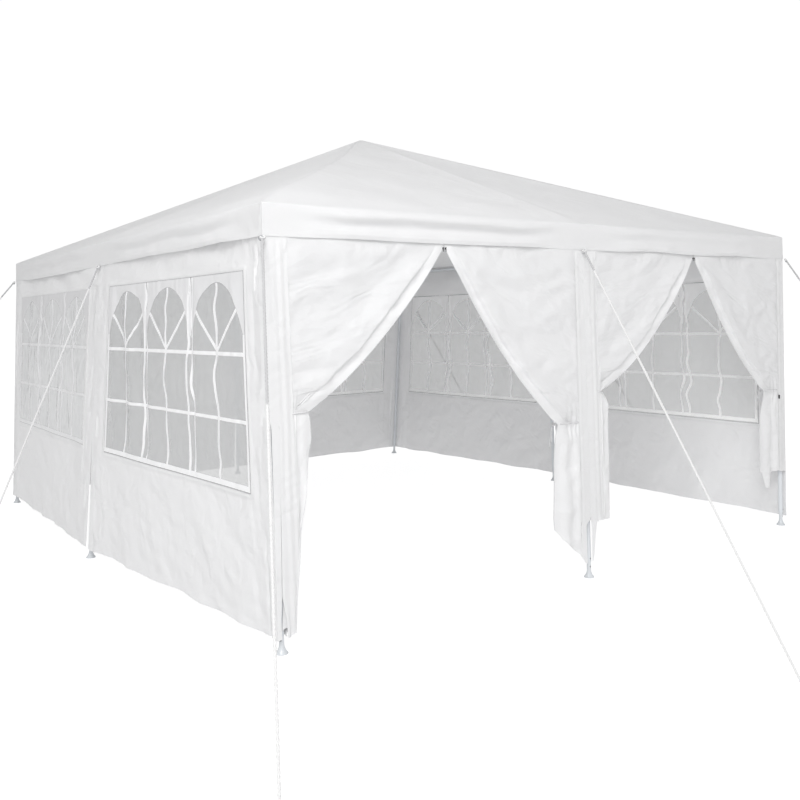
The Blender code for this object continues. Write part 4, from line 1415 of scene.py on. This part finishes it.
def build_tie(name):
    """A tape round the gathered cloth, with its two ends hanging from a small knot behind it."""
    leaf = LEAVES[name]
    first, reach, tie = leaf["band"] - 0.008, leaf["reach"], leaf["tie"]
    middle, spread = (first + reach) / 2, (reach - first) / 2 + 0.003
    turn = np.linspace(0, 2 * math.pi, 64, endpoint=False)
    x = middle + np.sign(np.cos(turn)) * np.abs(np.cos(turn)) ** 0.6 * spread
    inward = 0.026 + np.sign(np.sin(turn)) * np.abs(np.sin(turn)) ** 0.6 * 0.030
    z = tie + 0.004 * np.cos(turn + 0.6)
    line = leaf_place(name, x, z, inward)
    out = line - line.mean(0)
    out[:, 2] = 0
    out /= np.linalg.norm(out, axis=1)[:, None]
    edges = ((0, -0.004), (0.0014, -0.004), (0.0014, 0.004), (0, 0.004))
    band = np.stack([line + out * d + np.array([0, 0, h]) for d, h in edges], 1)
    parts = [(band.reshape(-1, 3), loft_faces(len(band), 4, closed=True))]
    knot_at = leaf_place(name, reach + 0.004, tie, 0.034)
    turns = np.linspace(0, 4 * math.pi, 40)
    knot = knot_at + np.stack([0.006 * np.cos(turns), 0.007 * np.sin(turns * 1.5), 0.007 * np.sin(turns)], -1)
    parts.append(tube_parts(knot, 0.0034, 8))
    for sway, hang in ((0.010, 0.10), (0.024, 0.13)):
        q = np.linspace(0, 1, 16)
        end = knot_at + np.stack([0 * q, 0.004 + sway * np.sin(q * 1.6), -hang * q], -1)
        parts.append(tube_parts(end, 0.0042 * (1 - 0.2 * q), 8, squash=0.3))
    piece = fix_normals(new_piece(name.replace("door_leaf", "door_tie"), *merged(parts)))
    return ride_small(piece, "tape")


def build_toggle():
    """The dark toggle that holds the far leaf's tie at its post."""
    points, faces = rounded_block((0.012, 0.007, 0.026), 0.003)
    points = points + leaf_place("door_leaf_right_bay_right", *TOGGLE_PLACE)
    return ride_small(fix_normals(new_piece("door_toggle", points, faces)), "dark")


def build_slider(name):
    """The zip's slider and its pull, parked at the top of the doorway."""
    top = leaf_place(name, LEAF_WIDTH - 0.004, np.array(ZIP_TOP - 0.004), -0.004)
    body, faces = rounded_block((0.0060, 0.005, 0.010), 0.0015)
    tab, tab_faces = rounded_block((0.0036, 0.0016, 0.014), 0.0006)
    parts = [(body + top, faces), (tab + top + np.array([0, -0.0048, -0.009]), tab_faces)]
    turn = np.linspace(0, 2 * math.pi, 16, endpoint=False)
    ring = top + np.stack([0.0022 * np.cos(turn), 0 * turn - 0.0048, 0.003 + 0.003 * np.sin(turn)], -1)
    parts.append(tube_parts(ring, 0.0008, 6, closed=True))
    piece = fix_normals(new_piece(name.replace("door_leaf", "zip_slider"), *merged(parts)))
    return ride_small(piece, "dark")


# ---- Guy ropes, grommets and small parts

def rope_line(post):
    """The taut line of a guy rope, from the valance's foot to the peg."""
    (sign_x, sign_y), _ = POSTS[post]
    corner = np.array([sign_x * WIDTH / 2, sign_y * DEPTH / 2, VALANCE_FOOT])
    offset = np.array([*PEG_OFFSETS[post], 0.0])
    unit = offset / np.linalg.norm(offset)
    peg = corner * (1, 1, 0) + offset
    return corner + unit * ROPE_OUT - ROPE_DROP, peg + ROPE_END, unit


def build_rope(post):
    """A three-strand rope from the grommet to its peg, with a loop at each end."""
    start, end, unit = rope_line(post)
    line = (end - start) / np.linalg.norm(end - start)
    across = np.cross(unit, (0, 0, 1))
    loop = []
    for a in np.linspace(0.15, 1, 14) * 2 * math.pi:
        swing = np.cos(a) * -line + np.sin(a) * across
        loop.append(start - line * 0.004 + LOOP_RADIUS * swing + line * LOOP_RADIUS)
    straight = [start + (end - start) * q for q in np.linspace(0.012, 1, 60)]
    coil = []
    for a in np.linspace(0, 2.2 * 2 * math.pi, 36):
        swing = np.cos(a) * -unit + np.sin(a) * across
        coil.append(end + COIL_RADIUS * swing + np.array([0, 0, 0.004 - 0.0035 * a / (2 * math.pi)]))
    path = path_object(f"rope_{post}", loop + straight[:-1] + coil)
    rope = grown(path, "rope", {"Material": FINISHES["rope"]})
    rope.data.shade_smooth()
    wear(rope, "rope")
    low, high = GREY_ROPE_NEAR if post == "front_left" else GREY_ROPE
    run = (face_centres(rope) - start) @ line
    add_finish(rope, "rope_end", (run > low) & (run < high))
    hand_over(rope, [f"guy_rope_{post}"])


def build_peg(post):
    """A peg of bent rod with its hook over the end of its rope."""
    _, end, unit = rope_line(post)
    base = end - ROPE_END
    rod = [base + np.array([0, 0, z]) for z in (0.0, 0.02, PEG_STEM)]
    for a in np.linspace(0.2, math.pi, 12):
        rise = np.array([0, 0, PEG_STEM + PEG_BEND * math.sin(a)])
        rod.append(base + unit * PEG_BEND * (1 - math.cos(a)) + rise)
    rod += [rod[-1] + np.array([0, 0, -z]) for z in (0.004, 0.010)]
    ride_small(fix_normals(new_piece(f"peg_{post}", *tube_parts(rod, PEG_RADIUS, 12))), "bright")


def grommet_part():
    """A rolled metal ring with its hole along z, as the part that is set at points."""
    turn = np.linspace(0, 2 * math.pi, 24, endpoint=False)
    ring = np.stack([GROMMET_RADIUS * np.cos(turn), GROMMET_RADIUS * np.sin(turn), 0 * turn], -1)
    piece = new_piece("grommet_part", *tube_parts(ring, 0.0030, 8, closed=True))
    return fix_normals(piece)


def button_part():
    """A domed spring button with its axis along z."""
    profile = ((0.0035, -0.002), (0.0035, 0.0012), (0.0028, 0.0024), (0.0012, 0.0030))
    turns = [2 * math.pi * k / 12 for k in range(12)]
    points = [(radius * math.cos(turn), radius * math.sin(turn), z) for radius, z in profile for turn in turns]
    return fix_normals(new_piece("button_part", points, loft_faces(len(profile), len(turns))))


def tooth_part():
    """One zip tooth, longer across the zip than along it."""
    x, y, z = 0.0012, 0.0022, 0.0011
    points = [(sx * x, sy * y, sz * z) for sx in (-1, 1) for sy in (-1, 1) for sz in (-1, 1)]
    faces = [(0, 1, 3, 2), (4, 6, 7, 5), (0, 4, 5, 1), (2, 3, 7, 6), (0, 2, 6, 4), (1, 5, 7, 3)]
    return fix_normals(new_piece("tooth_part", points, faces, smooth=False))


def ride_small(piece, finish):
    """Finish, ride and slot for a small piece."""
    return hand_over(wear(piece, finish))


def set_parts(name, part, places, facings, finish):
    """Copies of a small metal part at points, which ride as one piece."""
    piece = grown(points_object(name, places, facings), "set", {"Part": part, "Material": FINISHES[finish]})
    bpy.data.objects.remove(part)
    piece.data.shade_smooth()
    ride_small(piece, finish)


# ---- Stage

def make_floor(sizes):
    """A pale round floor that nearly vanishes against the sky."""
    turn = np.arange(sizes.floor_sides) * 2 * math.pi / sizes.floor_sides
    radius = sizes.floor_size / 2
    points = np.stack([radius * np.cos(turn), radius * np.sin(turn), 0 * turn - 0.0005], -1)
    floor = new_piece("floor", points, [tuple(range(sizes.floor_sides))])
    material, tree, shader, _ = blank_material("pale_floor")
    ray = wire(tree, "ShaderNodeLightPath").outputs["Is Camera Ray"]
    surface = {
        "Base Color": (0.35, 0.35, 0.35, 1),
        "Roughness": 0.9,
        "Specular IOR Level": 0.1,
        "Emission Color": (1, 1, 1, 1),
        "Emission Strength": sums(tree, "MULTIPLY_ADD", ray, 0.17, 0.66),
    }
    feed(tree, shader, surface)
    floor.data.materials.append(material)


def make_sky(scene, look):
    """Soft light from all sides, which looks white to the camera."""
    world = bpy.data.worlds.new("soft_sky")
    scene.world = world
    world.use_nodes = True
    sky = world.node_tree
    back = sky.nodes["Background"]
    feed(sky, back, {"Color": (1, 1, 1, 1), "Strength": look.sky_light})
    seen = wire(sky, "ShaderNodeBackground", {"Color": (1, 1, 1, 1), "Strength": 1.02})
    ray = wire(sky, "ShaderNodeLightPath").outputs["Is Camera Ray"]
    mix = wire(sky, "ShaderNodeMixShader", {0: ray, 1: back.outputs[0], 2: seen.outputs[0]})
    sky.links.new(mix.outputs[0], sky.nodes["World Output"].inputs["Surface"])


def make_lamps(look):
    """Two large soft lamps before the near corner."""
    for name, size, power, place in LAMPS:
        lamp = bpy.data.lights.new(name, "AREA")
        lamp.shape = "DISK"
        lamp.size = size
        lamp.energy = getattr(look, power)
        stand = linked(name, lamp)
        stand.location = place
        stand.rotation_euler = (Vector(LIT_POINT) - stand.location).to_track_quat("-Z", "Y").to_euler()


def make_camera(scene):
    """The camera at the photograph's angle."""
    azimuth, elevation, roll = (math.radians(a) for a in CAMERA_TURNS)
    level = math.cos(elevation)
    forward = Vector((-math.sin(azimuth) * level, math.cos(azimuth) * level, -math.sin(elevation)))
    right = Vector((math.cos(azimuth), math.sin(azimuth), 0))
    upright = Matrix((right, right.cross(forward), -forward)).transposed()
    turned = upright @ Matrix.Rotation(roll, 3, "Z")
    camera = bpy.data.cameras.new("photo_camera")
    camera.sensor_width = SENSOR
    camera.lens = FOCAL / PICTURE * SENSOR
    camera.shift_y = (AXIS_ROW - PICTURE / 2) / PICTURE
    camera.clip_end = 500
    eye = linked("photo_camera", camera)
    eye.matrix_world = Matrix.Translation(CAMERA_PLACE) @ turned.to_4x4()
    scene.camera = eye


# ---- Settings, operators and panel

class MarqueeSizes(bpy.types.PropertyGroup):
    """Sizes of the dressing that a user may change."""

    tooth_spacing: FloatProperty(
        name="Tooth spacing", description="Distance between zip teeth", default=0.0055, min=0.002, unit="LENGTH"
    )
    floor_size: FloatProperty(
        name="Floor size", description="Width of the round floor", default=120.0, min=10.0, unit="LENGTH"
    )
    floor_sides: IntProperty(name="Floor sides", description="Edges of the floor's outline", default=64, min=4)


class MarqueeLook(bpy.types.PropertyGroup):
    """Colours and surfaces that a user may change."""

    fabric_colour: FloatVectorProperty(
        name="Fabric colour",
        description="Colour of the coated sheet",
        subtype="COLOR",
        default=(0.90, 0.90, 0.905),
        min=0,
        max=1,
    )
    fabric_roughness: FloatProperty(
        name="Fabric roughness", description="Roughness of the coated sheet", default=0.46, min=0, max=1
    )
    fabric_translucency: FloatProperty(
        name="Fabric translucency", description="Share of light let through the sheet", default=0.30, min=0, max=1
    )
    film_colour: FloatVectorProperty(
        name="Film colour",
        description="Colour of the window film's haze",
        subtype="COLOR",
        default=(0.60, 0.605, 0.61),
        min=0,
        max=1,
    )
    film_haze: FloatProperty(
        name="Film haze", description="Share of light that each face of the film stops", default=0.50, min=0, max=1
    )
    bar_colour: FloatVectorProperty(
        name="Bar colour",
        description="Colour of the printed bars",
        subtype="COLOR",
        default=(0.86, 0.86, 0.87),
        min=0,
        max=1,
    )
    rope_colour: FloatVectorProperty(
        name="Rope colour",
        description="Colour of the guy ropes",
        subtype="COLOR",
        default=(0.78, 0.78, 0.78),
        min=0,
        max=1,
    )
    sky_light: FloatProperty(name="Sky light", description="Strength of the studio's soft light", default=0.65, min=0)
    key_light: FloatProperty(
        name="Key light", description="Power of the high soft lamp", default=380.0, min=0, unit="POWER"
    )
    fill_light: FloatProperty(
        name="Fill light", description="Power of the low soft lamp", default=42.0, min=0, unit="POWER"
    )


class MARQUEE_OT_make_frame(bpy.types.Operator):
    """Give the steel frame its finish and set the buttons that lock its tubes"""

    bl_idname = "marquee.make_frame"
    bl_label = "Finish the frame"

    def execute(self, context):
        prepare_finishes(context.scene.marquee_look)
        for name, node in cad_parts.items():
            if "joint" in name or name.startswith(("post", "hip", "middle", "eave")):
                for slot in node.material_slots:
                    slot.material = FINISHES["joint" if "joint" in name else "tube"]
        places, facings = [], []
        for (sx, sy), lean in POSTS.values():
            plan = np.array([sx * (WIDTH / 2 - POST_INSET), sy * (DEPTH / 2 - POST_INSET)])
            out = np.array([sx, sy, 0.0])
            out /= np.linalg.norm(out)
            for height, radius in BUTTONS:
                centre = plan + np.array(lean) * (1 - height / RAIL_HEIGHT)
                places.append(np.array([*centre, height]) + out * radius)
                facings.append(out)
        set_parts("post_buttons", button_part(), places, facings, "dark")
        return {"FINISHED"}


class MARQUEE_OT_make_canopy(bpy.types.Operator):
    """Build the roof sheet and its valance as one continuous sheet"""

    bl_idname = "marquee.make_canopy"
    bl_label = "Build the canopy"

    def execute(self, context):
        prepare_finishes(context.scene.marquee_look)
        build_canopy()
        return {"FINISHED"}


class MARQUEE_OT_make_walls(bpy.types.Operator):
    """Build the six window walls"""

    bl_idname = "marquee.make_walls"
    bl_label = "Build the window walls"

    def execute(self, context):
        prepare_finishes(context.scene.marquee_look)
        for side, (_, length, _, posts, bays) in SIDES.items():
            for bay in range(len(bays)):
                wall = build_wall(side, bay)
        return {"FINISHED"}


class MARQUEE_OT_make_windows(bpy.types.Operator):
    """Build the film windows with their printed bars"""

    bl_idname = "marquee.make_windows"
    bl_label = "Build the windows"

    def execute(self, context):
        prepare_finishes(context.scene.marquee_look)
        for side, (_, _, _, _, bays) in SIDES.items():
            for bay in range(len(bays)):
                for build in (build_film, build_bars, build_arches, build_seam):
                    build(side, bay)
        return {"FINISHED"}


class MARQUEE_OT_make_doors(bpy.types.Operator):
    """Build the four door leaves with their zips and ties"""

    bl_idname = "marquee.make_doors"
    bl_label = "Build the doors"

    def execute(self, context):
        prepare_finishes(context.scene.marquee_look)
        sizes = context.scene.marquee_sizes
        tooth = tooth_part()
        for name in LEAVES:
            leaf, points = build_leaf(name)
            edge = points[:, -1] + (0, -0.0008, 0)
            below = edge[edge[:, 2] < ZIP_TOP + 0.001]
            row = path_object(name.replace("door_leaf", "door_zip"), below)
            build_slider(name)
            teeth = grown(row, "row", {"Part": tooth, "Spacing": sizes.tooth_spacing, "Material": FINISHES["tape"]})
            ride_small(teeth, "tape")
            tie = build_tie(name)
        build_toggle()
        bpy.data.objects.remove(tooth)
        return {"FINISHED"}


class MARQUEE_OT_make_ropes(bpy.types.Operator):
    """Build the guy ropes, their pegs and the grommets they start from"""

    bl_idname = "marquee.make_ropes"
    bl_label = "Build the guy ropes"

    def execute(self, context):
        prepare_finishes(context.scene.marquee_look)
        places, facings = [], []
        for post, ((sx, sy), _) in POSTS.items():
            build_rope(post)
            build_peg(post)
            out = np.array([sx, sy, 0.0]) / np.linalg.norm([sx, sy])
            corner = np.array([sx * WIDTH / 2, sy * DEPTH / 2, VALANCE_FOOT - 0.012])
            places.append(corner + out * GROMMET_OUT[0 if sx and sy else 1])
            facings.append(out)
        set_parts("valance_grommets", grommet_part(), places, facings, "bright")
        return {"FINISHED"}


class MARQUEE_OT_make_stage(bpy.types.Operator):
    """Set up the pale floor, the soft light and the camera at the photograph's angle"""

    bl_idname = "marquee.make_stage"
    bl_label = "Set up the stage"

    def execute(self, context):
        scene = context.scene
        make_floor(scene.marquee_sizes)
        make_sky(scene, scene.marquee_look)
        make_lamps(scene.marquee_look)
        scene.view_settings.view_transform = "Standard"
        scene.view_settings.look = "None"
        make_camera(scene)
        return {"FINISHED"}


class MARQUEE_PT_panel(bpy.types.Panel):
    """Lists the steps that dress the tent"""

    bl_label = "Marquee tent"
    bl_space_type = "VIEW_3D"
    bl_region_type = "UI"
    bl_category = "Marquee"

    def draw(self, context):
        for owner in (context.scene.marquee_sizes, context.scene.marquee_look):
            for name in owner.__annotations__:
                self.layout.prop(owner, name)
        for step in STEPS:
            self.layout.operator(step.bl_idname)


STEPS = (
    MARQUEE_OT_make_stage,
    MARQUEE_OT_make_frame,
    MARQUEE_OT_make_canopy,
    MARQUEE_OT_make_walls,
    MARQUEE_OT_make_windows,
    MARQUEE_OT_make_doors,
    MARQUEE_OT_make_ropes,
)
CLASSES = (MarqueeSizes, MarqueeLook, *STEPS, MARQUEE_PT_panel)


def register():
    """Register the settings, the operators and the panel."""
    for cls in CLASSES:
        bpy.utils.register_class(cls)
    bpy.types.Scene.marquee_sizes = PointerProperty(type=MarqueeSizes)
    bpy.types.Scene.marquee_look = PointerProperty(type=MarqueeLook)


def unregister():
    """Take back what register did."""
    del bpy.types.Scene.marquee_look
    del bpy.types.Scene.marquee_sizes
    for cls in reversed(CLASSES):
        bpy.utils.unregister_class(cls)


def main():
    """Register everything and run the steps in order."""
    register()
    bpy.ops.marquee.make_stage()
    bpy.ops.marquee.make_frame()
    bpy.ops.marquee.make_canopy()
    bpy.ops.marquee.make_walls()
    bpy.ops.marquee.make_windows()
    bpy.ops.marquee.make_doors()
    bpy.ops.marquee.make_ropes()


if __name__ == "__main__":
    main()
